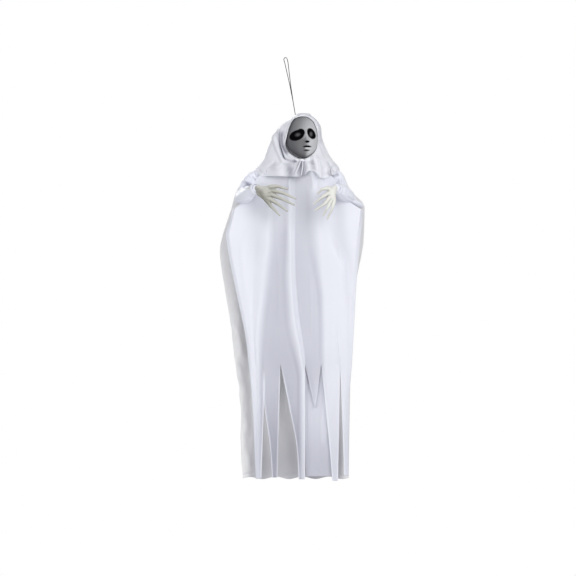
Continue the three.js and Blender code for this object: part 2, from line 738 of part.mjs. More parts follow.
function upperPad(stations, side) {
  const inside = stationRings(stations, CLOTH + CLEARANCE, SLEEVE_SIDES);
  const box = new THREE.BoxGeometry(PAD_REACH, PAD_BLOCK, PAD_BLOCK);
  const start = stations[0][0] + side * (CLEARANCE + PAD_REACH / 2);
  box.translate(start, stations[0][1], stations[0][2]);
  return toSolid(loft(inside)).intersect(toSolid(box)).subtract(shoulderTube(WIRE_RADIUS + CLEARANCE));
}

function forearmFrame(elbowX, wrist) {
  const elbow = new THREE.Vector3(elbowX, ELBOW_Y, ELBOW_Z);
  const axis = new THREE.Vector3().subVectors(wrist, elbow);
  const length = axis.length();
  axis.normalize();
  return { elbow, axis, length, at: (distance) => elbow.clone().addScaledVector(axis, distance) };
}

function forearmWire(frame) {
  const { elbow, length, at } = frame;
  const reach = length - HAND_STUB_LENGTH + HAND_SOCKET_DEPTH - CLEARANCE;
  const path = [
    elbow.clone().add(new THREE.Vector3(0, 0, PIN_HALF_LENGTH)),
    elbow.clone(),
    elbow.clone().add(new THREE.Vector3(0, 0, -PIN_HALF_LENGTH)),
    at(WIRE_BEND_START).add(new THREE.Vector3(0, 0, -PIN_HALF_LENGTH - WIRE_BEND_DROP)),
    at(WIRE_BEND_END).add(new THREE.Vector3(0, 0, -WIRE_BEND_DROP)),
    at(FOREARM_PAD_START - PAD_LEAD), at(FOREARM_PAD_START), at(length / 2), at(reach),
  ];
  return tube(path, WIRE_RADIUS, WIRE_SIDES, 24);
}

const UP = new THREE.Vector3(0, 0, 1);

function forearmSleeve(frame) {
  const end = frame.length - CUFF_GAP;
  const bulge = (end + FOREARM_SLEEVE_START) / 2;
  const wall = (inset, spare) => toSolid(limb([
    roundAt(frame.at(FOREARM_SLEEVE_START - spare), FOREARM_SLEEVE_RADIUS - inset),
    roundAt(frame.at(bulge), FOREARM_MIDDLE_RADIUS - inset),
    roundAt(frame.at(end + spare), CUFF_RADIUS - inset),
  ], UP, SLEEVE_SIDES));
  return wall(0, 0).subtract(wall(CLOTH, 1));
}

function forearmPad(frame) {
  const start = FOREARM_PAD_START;
  const end = frame.length - CUFF_GAP - PAD_SHORTER;
  const inset = CLOTH + 2 * CLEARANCE;
  const middle = (frame.length - CUFF_GAP + FOREARM_SLEEVE_START) / 2;
  const bore = tube([frame.at(start - 3), frame.at(end + 3)], WIRE_RADIUS + CLEARANCE, WIRE_SIDES, 1);
  const radius = (distance) => {
    const share = Math.max(0, (distance - middle) / (frame.length - CUFF_GAP - middle));
    return THREE.MathUtils.lerp(FOREARM_MIDDLE_RADIUS, CUFF_RADIUS, share) - inset;
  };
  const stations = [start, middle, end].map((distance) => roundAt(frame.at(distance), radius(distance)));
  return toSolid(limb(stations, UP, SLEEVE_SIDES)).subtract(toSolid(bore));
}

function cuffBand(frame) {
  const end = frame.length - CUFF_GAP;
  const start = end - CUFF_BAND_WIDTH;
  const ring = (radius, spare) => toSolid(limb([
    roundAt(frame.at(start - spare), radius), roundAt(frame.at(end + spare), radius),
  ], UP, SLEEVE_SIDES));
  const middle = (end + FOREARM_SLEEVE_START) / 2;
  const share = (start - middle) / (end - middle);
  const inner = THREE.MathUtils.lerp(FOREARM_MIDDLE_RADIUS, CUFF_RADIUS, share) + CLEARANCE;
  return ring(inner + CUFF_BAND_THICKNESS, 0).subtract(ring(inner, 1));
}

function hand(palm, fingers, frame) {
  const front = new THREE.Vector3(0, -1, 0);
  const palmStations = palm.map(([x, y, z, a, b]) => ({ at: new THREE.Vector3(x, y, z), a: b, b: a }));
  let shape = toSolid(limb(palmStations, front, PALM_SIDES));
  for (const finger of fingers) {
    const stations = finger.map(([x, y, z, a]) => ({ at: new THREE.Vector3(x, y, z), a, b: a }));
    shape = shape.add(toSolid(limb(stations, front, FINGER_SIDES)));
  }
  const stubStart = frame.length - HAND_STUB_LENGTH;
  const stub = limb([
    roundAt(frame.at(stubStart), HAND_STUB_RADIUS), roundAt(frame.at(frame.length + 2), HAND_STUB_RADIUS),
  ], UP, PALM_SIDES);
  const borePath = [frame.at(stubStart - 1), frame.at(stubStart + HAND_SOCKET_DEPTH)];
  const bore = tube(borePath, WIRE_RADIUS + CLEARANCE, WIRE_SIDES, 1);
  return shape.add(toSolid(stub)).subtract(toSolid(bore));
}

// Robe
function foldHeight(folds, x, z) {
  return folds.reduce((sum, [topX, topZ, bottomX, bottomZ, left, right, height]) => {
    const centre = THREE.MathUtils.mapLinear(z, topZ, bottomZ, topX, bottomX);
    const offset = (x - centre) / (x < centre ? left : right);
    const fade = THREE.MathUtils.smoothstep(topZ - z, -FOLD_FADE, FOLD_FADE)
      * THREE.MathUtils.smoothstep(z - bottomZ, -2 * FOLD_FADE, FOLD_FADE);
    const bell = Math.abs(offset) < 1 ? 0.5 + 0.5 * Math.cos(Math.PI * offset) : 0;
    return sum + height * bell * fade;
  }, 0);
}

function frontDepth(share, x, z) {
  const edge = Math.min(share, 1 - share) / EDGE_TURN;
  const turn = 1 - THREE.MathUtils.smoothstep(edge, 0, 1);
  const flat = tableAt(FRONT_DEPTH, z) - foldHeight(FRONT_FOLDS, x, z);
  return THREE.MathUtils.lerp(flat, tableAt(FRONT_EDGE_DEPTH, z), turn);
}

function frontTopAt(share) {
  const row = Math.max(1, FRONT_TOP.findIndex((entry) => entry[0] >= share - 1e-9));
  const [fromShare, fromX, fromZ] = FRONT_TOP[row - 1];
  const [toShare, toX, toZ] = FRONT_TOP[row];
  const mix = (share - fromShare) / (toShare - fromShare);
  return [THREE.MathUtils.lerp(fromX, toX, mix), THREE.MathUtils.lerp(fromZ, toZ, mix)];
}

function frontShare(x) {
  const left = tableAt(FRONT_LEFT, STRIP_TOP);
  return (x - left) / (tableAt(FRONT_RIGHT, STRIP_TOP) - left);
}

function frontPoint(share, row) {
  let x;
  let z;
  if (row <= YOKE_ROWS) {
    const mix = row / YOKE_ROWS;
    const [topX, topZ] = frontTopAt(share);
    const bendX = THREE.MathUtils.lerp(
      tableAt(FRONT_LEFT, ROBE_BEND), tableAt(FRONT_RIGHT, ROBE_BEND), share);
    x = THREE.MathUtils.lerp(topX, bendX, mix);
    z = THREE.MathUtils.lerp(topZ, ROBE_BEND, mix);
  } else {
    z = THREE.MathUtils.lerp(ROBE_BEND, STRIP_TOP, (row - YOKE_ROWS) / SKIRT_ROWS);
    x = THREE.MathUtils.lerp(tableAt(FRONT_LEFT, z), tableAt(FRONT_RIGHT, z), share);
  }
  return new THREE.Vector3(x, frontDepth(share, x, z), z);
}

function stripPoint(strip, mix, row) {
  const down = row / STRIP_ROWS;
  const even = THREE.MathUtils.lerp(STRIP_TOP, ROBE_BOTTOM, down);
  const z = row === STRIP_ROWS ? strip.bottom : even;
  const x = THREE.MathUtils.lerp(tableAt(strip.left, z), tableAt(strip.right, z), mix);
  const share = THREE.MathUtils.clamp(frontShare(x), 0, 1);
  return new THREE.Vector3(x, frontDepth(share, x, z), z);
}

function robeFront() {
  const points = [];
  const faces = [];
  for (const strip of STRIPS) {
    const fromX = tableAt(strip.left, STRIP_TOP);
    const toX = tableAt(strip.right, STRIP_TOP);
    const upperRows = YOKE_ROWS + SKIRT_ROWS;
    const stripRows = Math.min(STRIP_ROWS, Math.round(
      (STRIP_ROWS * (STRIP_TOP - strip.bottom)) / (STRIP_TOP - ROBE_BOTTOM)));
    const rows = upperRows + stripRows;
    const first = points.length;
    points.push(...gridPoints(strip.columns, rows, (u, v) => {
      const row = Math.round(v * rows);
      return row <= upperRows
        ? frontPoint(frontShare(THREE.MathUtils.lerp(fromX, toX, u)), row)
        : stripPoint(strip, u, row - upperRows);
    }));
    faces.push(...gridFaces(strip.columns, rows, first));
  }
  return thicken({ points, faces }, CLOTH);
}

function robeBack() {
  const points = gridPoints(BACK_COLUMNS, BACK_ROWS, (u, v) => {
    const rise = BACK_TOP_RISE * THREE.MathUtils.smoothstep(
      Math.min(u, 1 - u), BACK_TOP_RISE_FROM, BACK_TOP_RISE_TO);
    const level = THREE.MathUtils.lerp(BACK_TOP + rise, BACK_BOTTOM, v);
    const x = THREE.MathUtils.lerp(tableAt(BACK_LEFT, level), tableAt(BACK_RIGHT, level), u);
    const hem = HEM_WAVE * Math.sin(2 * Math.PI * HEM_WAVES * u) * Math.max(0, v * 4 - 3);
    return new THREE.Vector3(x, tableAt(BACK_DEPTH, level) + foldHeight(BACK_FOLDS, x, level), level + hem);
  });
  return thicken({ points, faces: gridFaces(BACK_COLUMNS, BACK_ROWS) }, CLOTH);
}

addPart('hanging_cord', hangingCord(), 'cord');
addPart('crown_knot', crownKnot(), 'cord');
addPart('knot_washer', knotWasher(), 'wire');
addPart('head_back_shell', headBackShell(), 'face');
addPart('face_shell', faceShell(), 'face');
addPart('neck_post', neckPost(), 'plastic');
addPart('neck_retainer', neckRetainer(), 'plastic');
addPart('neck_screw', neckScrew(), 'wire');
addPart('hood', hood(), 'hood');
addPart('neck_socket', neckSocket(), 'plastic');
addPart('cape', cape(), 'hood');
addPart('chin_tie', chinTie(), 'hood');
addPart('chest_form', chestForm(), 'foam');
addPart('shoulder_wire', shoulderWire(), 'wire');
addPart('robe_front', robeFront(), 'robe');
addPart('robe_back', robeBack(), 'robe');

const ARMS = [
  { name: 'left', side: -1, elbowX: LEFT_ELBOW_X, wrist: LEFT_WRIST, sleeve: LEFT_SLEEVE,
    palm: LEFT_PALM, fingers: LEFT_FINGERS },
  { name: 'right', side: 1, elbowX: RIGHT_ELBOW_X, wrist: RIGHT_WRIST, sleeve: RIGHT_SLEEVE,
    palm: RIGHT_PALM, fingers: RIGHT_FINGERS },
];
for (const arm of ARMS) {
  const frame = forearmFrame(arm.elbowX, arm.wrist);
  addPart(`${arm.name}_upper_sleeve`, upperSleeve(arm.sleeve, arm.elbowX, arm.side), 'robe');
  addPart(`${arm.name}_arm_pad`, upperPad(arm.sleeve, arm.side), 'foam');
  addPart(`${arm.name}_forearm_wire`, forearmWire(frame), 'wire');
  addPart(`${arm.name}_forearm_pad`, forearmPad(frame), 'foam');
  addPart(`${arm.name}_forearm_sleeve`, forearmSleeve(frame), 'robe');
  addPart(`${arm.name}_cuff_band`, cuffBand(frame), 'robe');
  addPart(`${arm.name}_hand`, hand(arm.palm, arm.fingers, frame), 'hand');
}

export default ghost;
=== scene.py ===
# Hanging ghost decoration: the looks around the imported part. Tables are in millimetres, pieces in metres.
import math

import bmesh
import bpy
import numpy as np
from mathutils import Matrix, Vector, noise
from mathutils.bvhtree import BVHTree


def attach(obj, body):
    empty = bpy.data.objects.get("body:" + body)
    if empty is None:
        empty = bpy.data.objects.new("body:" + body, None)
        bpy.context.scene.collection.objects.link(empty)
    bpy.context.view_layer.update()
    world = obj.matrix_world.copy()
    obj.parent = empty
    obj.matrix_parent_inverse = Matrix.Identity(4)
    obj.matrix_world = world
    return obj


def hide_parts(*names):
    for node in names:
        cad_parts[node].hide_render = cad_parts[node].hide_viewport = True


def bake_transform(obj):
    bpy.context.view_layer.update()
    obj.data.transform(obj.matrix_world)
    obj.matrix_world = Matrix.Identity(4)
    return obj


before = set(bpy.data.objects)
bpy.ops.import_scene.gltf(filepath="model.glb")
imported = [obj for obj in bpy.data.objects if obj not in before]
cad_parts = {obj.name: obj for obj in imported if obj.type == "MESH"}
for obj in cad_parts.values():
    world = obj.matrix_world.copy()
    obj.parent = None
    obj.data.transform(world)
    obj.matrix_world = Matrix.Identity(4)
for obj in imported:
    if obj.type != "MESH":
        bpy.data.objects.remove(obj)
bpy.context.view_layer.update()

MM = 0.001


# Camera
LENS = 200
SENSOR = 36
FRAME_WIDTH = 1.411
VIEW_X = 0.006
VIEW_Z = -0.5635


def make_camera():
    data = bpy.data.cameras.new("camera")
    data.lens = LENS
    data.sensor_width = SENSOR
    data.clip_end = 100
    camera = bpy.data.objects.new("camera", data)
    camera.location = (VIEW_X, -FRAME_WIDTH * LENS / SENSOR, VIEW_Z)
    camera.rotation_euler = (math.pi / 2, 0, 0)
    bpy.context.scene.collection.objects.link(camera)
    bpy.context.scene.camera = camera


make_camera()


# Curves and tables
EYE_DISTANCE = FRAME_WIDTH * LENS / SENSOR / MM


def seen(points):
    """Where points show in the photograph's view, as x and z in the plane through the cord."""
    scale = EYE_DISTANCE / (EYE_DISTANCE + points[:, 1])
    x = VIEW_X / MM + (points[:, 0] - VIEW_X / MM) * scale
    return x, VIEW_Z / MM + (points[:, 2] - VIEW_Z / MM) * scale


def smooth(value):
    t = np.clip(value, 0, 1)
    return t * t * (3 - 2 * t)


def read(table, at):
    """Reads a table of [place, value] rows along a smooth curve without overshoot."""
    rows = np.array(sorted(table), float)
    x, y = rows[:, 0], rows[:, 1]
    gap = np.diff(x)
    rise = np.diff(y) / gap
    slope = np.zeros(len(x))
    same = rise[:-1] * rise[1:] > 0
    slope[1:-1][same] = 2 * rise[:-1][same] * rise[1:][same] / (rise[:-1] + rise[1:])[same]
    slope[0], slope[-1] = rise[0], rise[-1]
    at = np.clip(np.asarray(at, float), x[0], x[-1])
    i = np.clip(np.searchsorted(x, at) - 1, 0, len(gap) - 1)
    t = (at - x[i]) / gap[i]
    return (y[i] * (1 + 2 * t) * (1 - t) ** 2 + y[i + 1] * t * t * (3 - 2 * t)
            + gap[i] * (slope[i] * t * (1 - t) ** 2 + slope[i + 1] * t * t * (t - 1)))


def along_line(points):
    """How far along a line of points each one lies."""
    return np.concatenate([[0], np.cumsum(np.linalg.norm(np.diff(points, axis=0), axis=1))])


def polyline(points, step):
    """Points about a step apart along a smooth curve through the given points."""
    points = np.array(points, float)
    travelled = along_line(points)
    at = np.linspace(0, travelled[-1], max(3, int(travelled[-1] / step) + 1))
    columns = [read(list(zip(travelled, points[:, k])), at) for k in range(points.shape[1])]
    return np.stack(columns, axis=1)


def cloud(points, size, seed):
    """Smooth noise from about -1 to 1, with features of the given size in millimetres."""
    shift = Vector((seed * 17.3, seed * 5.1, seed * 9.7))
    scaled = np.asarray(points) / size
    return np.array([noise.noise(Vector(p) + shift) for p in scaled])


def strokes(x, z, lines):
    """Sum of ridges drawn in the front view. A line is [points, reach left, reach right, height, fade in,
    fade out], with left and right as seen when it runs downwards. A negative height is a groove."""
    total = np.zeros(len(x))
    for points, left, right, height, fade_in, fade_out in lines:
        path = polyline(points, 6)
        reach = max(left, right)
        low, high = path.min(0) - reach, path.max(0) + reach
        near = np.nonzero((x > low[0]) & (x < high[0]) & (z > low[1]) & (z < high[1]))[0]
        px, pz = x[near], z[near]
        best = np.full(len(near), 1e9)
        side = np.zeros(len(near))
        along = np.zeros(len(near))
        travelled = 0.0
        for (x0, z0), (x1, z1) in zip(path[:-1], path[1:]):
            dx, dz = x1 - x0, z1 - z0
            length = math.hypot(dx, dz)
            t = np.clip(((px - x0) * dx + (pz - z0) * dz) / length ** 2, 0, 1)
            ox, oz = px - x0 - t * dx, pz - z0 - t * dz
            away = np.hypot(ox, oz)
            closer = away < best
            best = np.where(closer, away, best)
            side = np.where(closer, dx * oz - dz * ox, side)
            along = np.where(closer, travelled + t * length, along)
            travelled += length
        wide = np.where(side > 0, right, left)
        bell = np.where(best < wide, 0.5 + 0.5 * np.cos(np.pi * np.minimum(best / wide, 1)), 0)
        ends = smooth(along / fade_in) * smooth((travelled - along) / fade_out)
        total[near] += height * bell * ends
    return total


def between_lines(lines, x, z):
    """Height and shade between lines that run down a cloth. A line is rows of [z, x, height, shade]."""
    tables = [np.array(line, float) for line in lines]
    place, height, shade = (
        np.stack([read(list(zip(rows[:, 0], rows[:, k])), z) for rows in tables]) for k in (1, 2, 3))
    total_height, total_shade = height[0].copy(), shade[0].copy()
    for k in range(len(lines) - 1):
        t = smooth((x - place[k]) / np.maximum(place[k + 1] - place[k], 1))
        total_height += (height[k + 1] - height[k]) * t
        total_shade += (shade[k + 1] - shade[k]) * t
    return total_height, total_shade


# Meshes
def round_turn(count):
    """Angles that go once round."""
    return np.linspace(0, 2 * math.pi, count, endpoint=False)


def shares(rows, columns):
    """Share of the way down and across a grid, point by point."""
    down, across = np.meshgrid(np.linspace(0, 1, rows + 1), np.linspace(0, 1, columns + 1), indexing="ij")
    return down.ravel(), across.ravel()


def grid_faces(columns, rows, closed=False):
    """Four-sided faces of a grid of points. A closed grid joins its last column to its first."""
    width = columns if closed else columns + 1
    row, column = np.meshgrid(np.arange(rows), np.arange(columns), indexing="ij")
    a = row * width + column
    b = row * width + (column + 1) % width
    return np.stack([a, a + width, b + width, b], axis=-1).reshape(-1, 4)


def capped_faces(sides, rings):
    """Faces of a closed grid of rings, with two more points that close its ends."""
    faces = [list(face) for face in grid_faces(sides, rings - 1, closed=True)]
    first, last, last_ring = rings * sides, rings * sides + 1, (rings - 1) * sides
    for side in range(sides):
        after = (side + 1) % sides
        faces.append([first, side, after])
        faces.append([last, last_ring + after, last_ring + side])
    return faces


def grid_normals(points, faces):
    """The direction in which a grid faces at each point."""
    a, b, c, d = (points[faces[:, k]] for k in range(4))
    cross = np.cross(c - a, d - b)
    normals = np.zeros_like(points)
    for k in range(4):
        np.add.at(normals, faces[:, k], cross)
    return normals / np.maximum(np.linalg.norm(normals, axis=1, keepdims=True), 1e-12)


def piece(name, points, faces):
    """A smooth-shaded mesh object from points in millimetres."""
    mesh = bpy.data.meshes.new(name)
    mesh.from_pydata((np.asarray(points) * MM).tolist(), [], [[int(i) for i in face] for face in faces])
    mesh.validate()
    mesh.shade_smooth()
    made = bpy.data.objects.new(name, mesh)
    bpy.context.scene.collection.objects.link(made)
    return made


def mark(made, name, values):
    """Stores one number per vertex under a name that a material can read."""
    layer = made.data.attributes.new(name, "FLOAT", "POINT")
    layer.data.foreach_set("value", np.asarray(values, np.float32))


def bake(made):
    """Applies the modifiers of a piece to its mesh."""
    graph = bpy.context.evaluated_depsgraph_get()
    mesh = bpy.data.meshes.new_from_object(made.evaluated_get(graph))
    made.modifiers.clear()
    made.data = mesh
    made.data.shade_smooth()


def thicken(made, thickness):
    """Gives a sheet its thickness, half on each side."""
    solid = made.modifiers.new("cloth", "SOLIDIFY")
    solid.thickness = thickness * MM
    solid.offset = 0
    bake(made)


def weld(made, distance):
    """Joins points that lie within a distance of each other."""
    shape = bmesh.new()
    shape.from_mesh(made.data)
    bmesh.ops.remove_doubles(shape, verts=shape.verts, dist=distance * MM)
    bmesh.ops.recalc_face_normals(shape, faces=shape.faces)
    shape.to_mesh(made.data)
    shape.free()
    made.data.shade_smooth()


def triples(rows, name):
    """One vector of each row of mesh data, such as co of the vertices."""
    values = np.zeros(len(rows) * 3)
    rows.foreach_get(name, values)
    return values.reshape(-1, 3)


def points_of(made):
    return triples(made.data.vertices, "co") / MM


def normals_of(made):
    return triples(made.data.vertex_normals, "vector")


def facing_front(normals):
    """1 where a surface faces the front, falling to 0 at its sides."""
    return smooth(-normals[:, 1] * 2.2)


def move_to(made, points):
    made.data.vertices.foreach_set("co", (np.asarray(points) * MM).ravel())
    made.data.update()


def remesh(made, voxel, rounds):
    """Fuses the shapes of a mesh into one skin and smooths it."""
    skin = made.modifiers.new("skin", "REMESH")
    skin.mode = "VOXEL"
    skin.voxel_size = voxel * MM
    if rounds:
        soft = made.modifiers.new("soft", "SMOOTH")
        soft.factor = 0.5
        soft.iterations = rounds
    bake(made)


def paint(made, material):
    made.data.materials.clear()
    made.data.materials.append(material)


def finish_piece(made, body, slot, material, *nodes):
    paint(made, material)
    if isinstance(body, str):
        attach(made, body)
    else:
        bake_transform(made)
    if nodes:
        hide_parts(*nodes)
    return made


def frames_along(path):
    """Two directions across a path at each point, which turn as little as they can."""
    along = np.gradient(path, axis=0)
    along /= np.linalg.norm(along, axis=1, keepdims=True)
    first = np.cross(along[0], [0.3, 0.2, 0.9])
    across = [first / np.linalg.norm(first)]
    for direction in along[1:]:
        side = across[-1] - direction * np.dot(across[-1], direction)
        across.append(side / np.linalg.norm(side))
    across = np.array(across)
    return across, np.cross(along, across)


def tube(path, radius_at, sides):
    """Points and faces of a closed tube. radius_at gives its radius by place along it and angle round it."""
    across, up = frames_along(path)
    turn = round_turn(sides)
    points = []
    for row, centre in enumerate(path):
        radius = radius_at(row, turn)
        ring = np.outer(radius * np.cos(turn), across[row]) + np.outer(radius * np.sin(turn), up[row])
        points.append(centre + ring)
    return np.concatenate(points + [path[:1], path[-1:]]), capped_faces(sides, len(path))


def joined(parts):
    """Points and faces of several shapes as one list."""
    points, faces = [], []
    for part_points, part_faces in parts:
        offset = sum(len(p) for p in points)
        points.append(np.asarray(part_points))
        faces += [[index + offset for index in face] for face in part_faces]
    return np.concatenate(points), faces


# Materials
class Nodes:
    """A short way to write the nodes of a material, or of the world."""

    def __init__(self, name, kept_in="materials", output="ShaderNodeOutputMaterial"):
        self.owner = getattr(bpy.data, kept_in).new(name)
        self.owner.use_nodes = True
        self.tree = self.owner.node_tree
        self.tree.nodes.clear()
        self.output = self.tree.nodes.new(output)

    def add(self, kind, inputs=None, **settings):
        node = self.tree.nodes.new(kind)
        for key, value in settings.items():
            setattr(node, key, value)
        for key, value in (inputs or {}).items():
            if isinstance(value, bpy.types.NodeSocket):
                self.tree.links.new(value, node.inputs[key])
            else:
                node.inputs[key].default_value = value
        return node

    def math(self, operation, a, b=0.0):
        return self.add("ShaderNodeMath", {0: a, 1: b}, operation=operation).outputs[0]

    def noise(self, scale, detail=3.0, vector=None, stretch=None):
        place = self.add("ShaderNodeTexCoord").outputs["Object"] if vector is None else vector
        if stretch:
            place = self.add("ShaderNodeMapping", {"Vector": place, "Scale": stretch}).outputs[0]
        return self.add("ShaderNodeTexNoise", {"Vector": place, "Scale": scale, "Detail": detail}).outputs[0]

    def scaled(self, value, low, high, to_low, to_high):
        return self.add("ShaderNodeMapRange", {0: value, 1: low, 2: high, 3: to_low, 4: to_high}).outputs[0]

    def attribute(self, name):
        return self.add("ShaderNodeAttribute", attribute_name=name).outputs["Fac"]

    def mix(self, share, a, b):
        node = self.add("ShaderNodeMix", data_type="RGBA")
        for socket, value in ((node.inputs[0], share), (node.inputs[6], a), (node.inputs[7], b)):
            if isinstance(value, bpy.types.NodeSocket):
                self.tree.links.new(value, socket)
            else:
                socket.default_value = value
        return node.outputs[2]

    def bump(self, height, distance, strength=1.0, normal=None):
        inputs = {"Height": height, "Distance": distance, "Strength": strength}
        if normal is not None:
            inputs["Normal"] = normal
        return self.add("ShaderNodeBump", inputs).outputs[0]

    def show(self, socket):
        self.tree.links.new(socket, self.output.inputs[0])
        return self.owner

    def surface(self, **inputs):
        shader = self.add("ShaderNodeBsdfPrincipled", {k.replace("_", " "): v for k, v in inputs.items()})
        return self.show(shader.outputs[0])

    def between(self, pattern, colour, other, low=0.35, high=0.7):
        """Drifts from one colour to another by a pattern."""
        return self.mix(self.scaled(pattern, low, high, 0.0, 1.0), rgb(*colour), rgb(*other))


def rgb(r, g, b):
    return (r, g, b, 1.0)


# The back panel's hem, in millimetres: length of a stitch, two seams and the fold above the edge
STITCH, SEAMS, HEM_FOLD = 3.4, (9.0, 12.0), 13.5


def satin(name, colour, shade, hem=False):
    """White satin: fine weave, soft crumples, and painted shade in its folds and hollows, read from the shade
    stored on each cloth.
    """
    n = Nodes(name)
    place = n.add("ShaderNodeTexCoord").outputs["Object"]
    warp, weft = (
        n.add("ShaderNodeTexWave", {"Vector": place, "Scale": scale, "Distortion": 0.6},
              bands_direction=way).outputs["Fac"] for scale, way in ((900.0, "X"), (700.0, "Z")))
    weave = n.math("ADD", warp, weft)
    crumple = n.noise(26.0, 4.0, place, (1.0, 1.0, 0.35))
    tint = n.between(n.noise(9.0, 2.0, place), colour, shade)
    # Painted shade: the colour mixes towards dark grey by the stored shade
    tint = n.mix(n.attribute("shade"), tint, rgb(0.2, 0.2, 0.245))
    normal = n.bump(crumple, 0.0006, 0.5)
    normal = n.bump(weave, 0.00006, 0.5, normal)
    if hem:
        edge = n.attribute("hem")
        dash = n.math("LESS_THAN", n.math("FRACT", n.math("DIVIDE", n.attribute("along"), STITCH)), 0.72)
        seams = [n.math("COMPARE", edge, height) for height in SEAMS]
        for seam in seams:
            seam.node.inputs[2].default_value = 0.55
        stitch = n.math("MULTIPLY", n.math("ADD", *seams), dash)
        fold = n.math("LESS_THAN", edge, HEM_FOLD)
        tint = n.mix(n.math("MULTIPLY", stitch, 0.55), tint, rgb(0.48, 0.48, 0.52))
        tint = n.mix(n.math("MULTIPLY", fold, 0.12), tint, rgb(0.66, 0.66, 0.7))
        normal = n.bump(n.math("SUBTRACT", fold, n.math("MULTIPLY", stitch, 0.8)), 0.0006, 0.7, normal)
    return n.surface(
        Base_Color=tint, Roughness=n.scaled(crumple, 0.3, 0.7, 0.38, 0.52), Normal=normal,
        Sheen_Weight=0.12, Sheen_Roughness=0.4, Specular_IOR_Level=0.42, Subsurface_Weight=0.35,
        Subsurface_Scale=0.004, Subsurface_Radius=(1.0, 1.0, 1.0))


ROBE = satin("robe_satin", (0.87, 0.88, 0.96), (0.85, 0.86, 0.945))
BACK = satin("robe_back_satin", (0.875, 0.865, 0.86), (0.845, 0.835, 0.835), hem=True)
HOOD = satin("hood_satin", (0.87, 0.87, 0.92), (0.84, 0.845, 0.895))


def face_paint():
    """Grey matte paint, black round the eyes, with painted shade, shadow and highlights, drawn by the numbers
    stored on the face.
    """
    n = Nodes("face_paint")
    grain = n.noise(420.0, 3.0)
    pale = n.between(n.noise(34.0, 3.0), (0.58, 0.58, 0.585), (0.54, 0.54, 0.55))
    # Painted shade, a painted highlight on the lower lip, black paint with painted shadow, then painted
    # glints
    base = n.mix(n.attribute("shade"), pale, rgb(0.12, 0.12, 0.125))
    base = n.mix(n.attribute("lip"), base, rgb(0.72, 0.72, 0.72))
    ink_and_shadow = n.attribute("ink_and_shadow")
    base = n.mix(ink_and_shadow, base, rgb(0.003, 0.003, 0.004))
    base = n.mix(n.attribute("glint"), base, rgb(0.3, 0.3, 0.31))
    return n.surface(
        Base_Color=base, Roughness=n.scaled(grain, 0.3, 0.7, 0.5, 0.64),
        Normal=n.bump(grain, 0.0002, 0.35), Specular_IOR_Level=n.scaled(ink_and_shadow, 0.0, 1.0, 0.12, 0.0))


def hand_paint():
    """Ivory cast plastic, with painted shade between the fingers, at the wrist and on what faces down, and
    painted highlights along the fingers.
    """
    n = Nodes("hand_paint")
    grain = n.noise(300.0, 3.0)
    base = n.between(n.noise(45.0, 3.0), (0.80, 0.80, 0.74), (0.74, 0.735, 0.67))
    base = n.mix(n.attribute("shade"), base, rgb(0.25, 0.245, 0.205))
    return n.surface(
        Base_Color=base, Roughness=n.scaled(grain, 0.3, 0.7, 0.42, 0.56),
        Normal=n.bump(grain, 0.00015, 0.4), Specular_IOR_Level=0.45, Subsurface_Weight=0.06,
        Subsurface_Scale=0.004)


def twine():
    """Black cotton with loose fibres."""
    n = Nodes("black_twine")
    fibre = n.noise(900.0, 4.0, stretch=(1.0, 1.0, 0.3))
    base = n.between(fibre, (0.006, 0.006, 0.008), (0.02, 0.02, 0.022))
    return n.surface(Base_Color=base, Roughness=n.scaled(fibre, 0.3, 0.7, 0.7, 0.85),
                     Normal=n.bump(fibre, 0.0002, 0.8), Specular_IOR_Level=0.15)


def plain(name, colour, roughness, metallic=0.0, scale=240.0):
    """The look of the pieces inside, which show little."""
    n = Nodes(name)
    grain = n.noise(scale, 4.0)
    base = n.between(grain, colour, [0.86 * value for value in colour])
    return n.surface(Base_Color=base, Metallic=metallic, Normal=n.bump(grain, 0.0002, 0.3),
                     Roughness=n.scaled(grain, 0.3, 0.7, roughness - 0.07, roughness + 0.07))


FACE = face_paint()
HAND = hand_paint()
TWINE = twine()
STEEL = plain("drawn_wire", (0.55, 0.56, 0.57), 0.35, 1.0, 600.0)
FOAM = plain("foam", (0.86, 0.86, 0.83), 0.9, 0.0, 500.0)
PLASTIC = plain("neck_plastic", (0.78, 0.78, 0.76), 0.45)


# Hanging cord: two twisted plies, up one strand, round the loop and down the other
CORD_RADIUS = 0.8
CORD_ROUTE = [
    (24.4, 11.0, -140.5), (22.2, 9.95, -128), (19.1, 8.45, -110), (15.1, 6.8, -90),
    (11.3, 5.4, -70), (6.8, 4.0, -50), (2.2, 2.6, -30), (-1.9, 1.0, -12),
    (-4.15, 0, -3.35), (-2.93, 0, -0.42), (0, 0, 0.8), (2.93, 0, -0.42), (4.15, 0, -3.35),
    (6.1, 1.0, -12), (8.2, 2.6, -30), (10.6, 4.6, -50), (13.1, 6.6, -70),
    (16.1, 8.6, -90), (19.1, 10.35, -110), (22.2, 11.85, -128), (24.4, 12.9, -140.5),
]
CORD_STEPS = 24
PLY_LENGTH = 4.5


def catmull_rom(points, per_span):
    """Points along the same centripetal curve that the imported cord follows."""
    points = [np.array(p, float) for p in points]
    padded = [2 * points[0] - points[1]] + points + [2 * points[-1] - points[-2]]
    made = []
    for i in range(1, len(padded) - 2):
        p0, p1, p2, p3 = padded[i - 1:i + 3]
        d0, d1, d2 = (np.linalg.norm(b - a) ** 0.5 for a, b in ((p0, p1), (p1, p2), (p2, p3)))
        m1 = ((p1 - p0) / d0 - (p2 - p0) / (d0 + d1) + (p2 - p1) / d1) * d1
        m2 = ((p2 - p1) / d1 - (p3 - p1) / (d1 + d2) + (p3 - p2) / d2) * d1
        for t in np.arange(per_span) / per_span:
            made.append(p1 * (2 * t ** 3 - 3 * t ** 2 + 1) + m1 * (t ** 3 - 2 * t ** 2 + t)
                        + p2 * (3 * t ** 2 - 2 * t ** 3) + m2 * (t ** 3 - t ** 2))
    made.append(points[-1])
    return np.array(made)


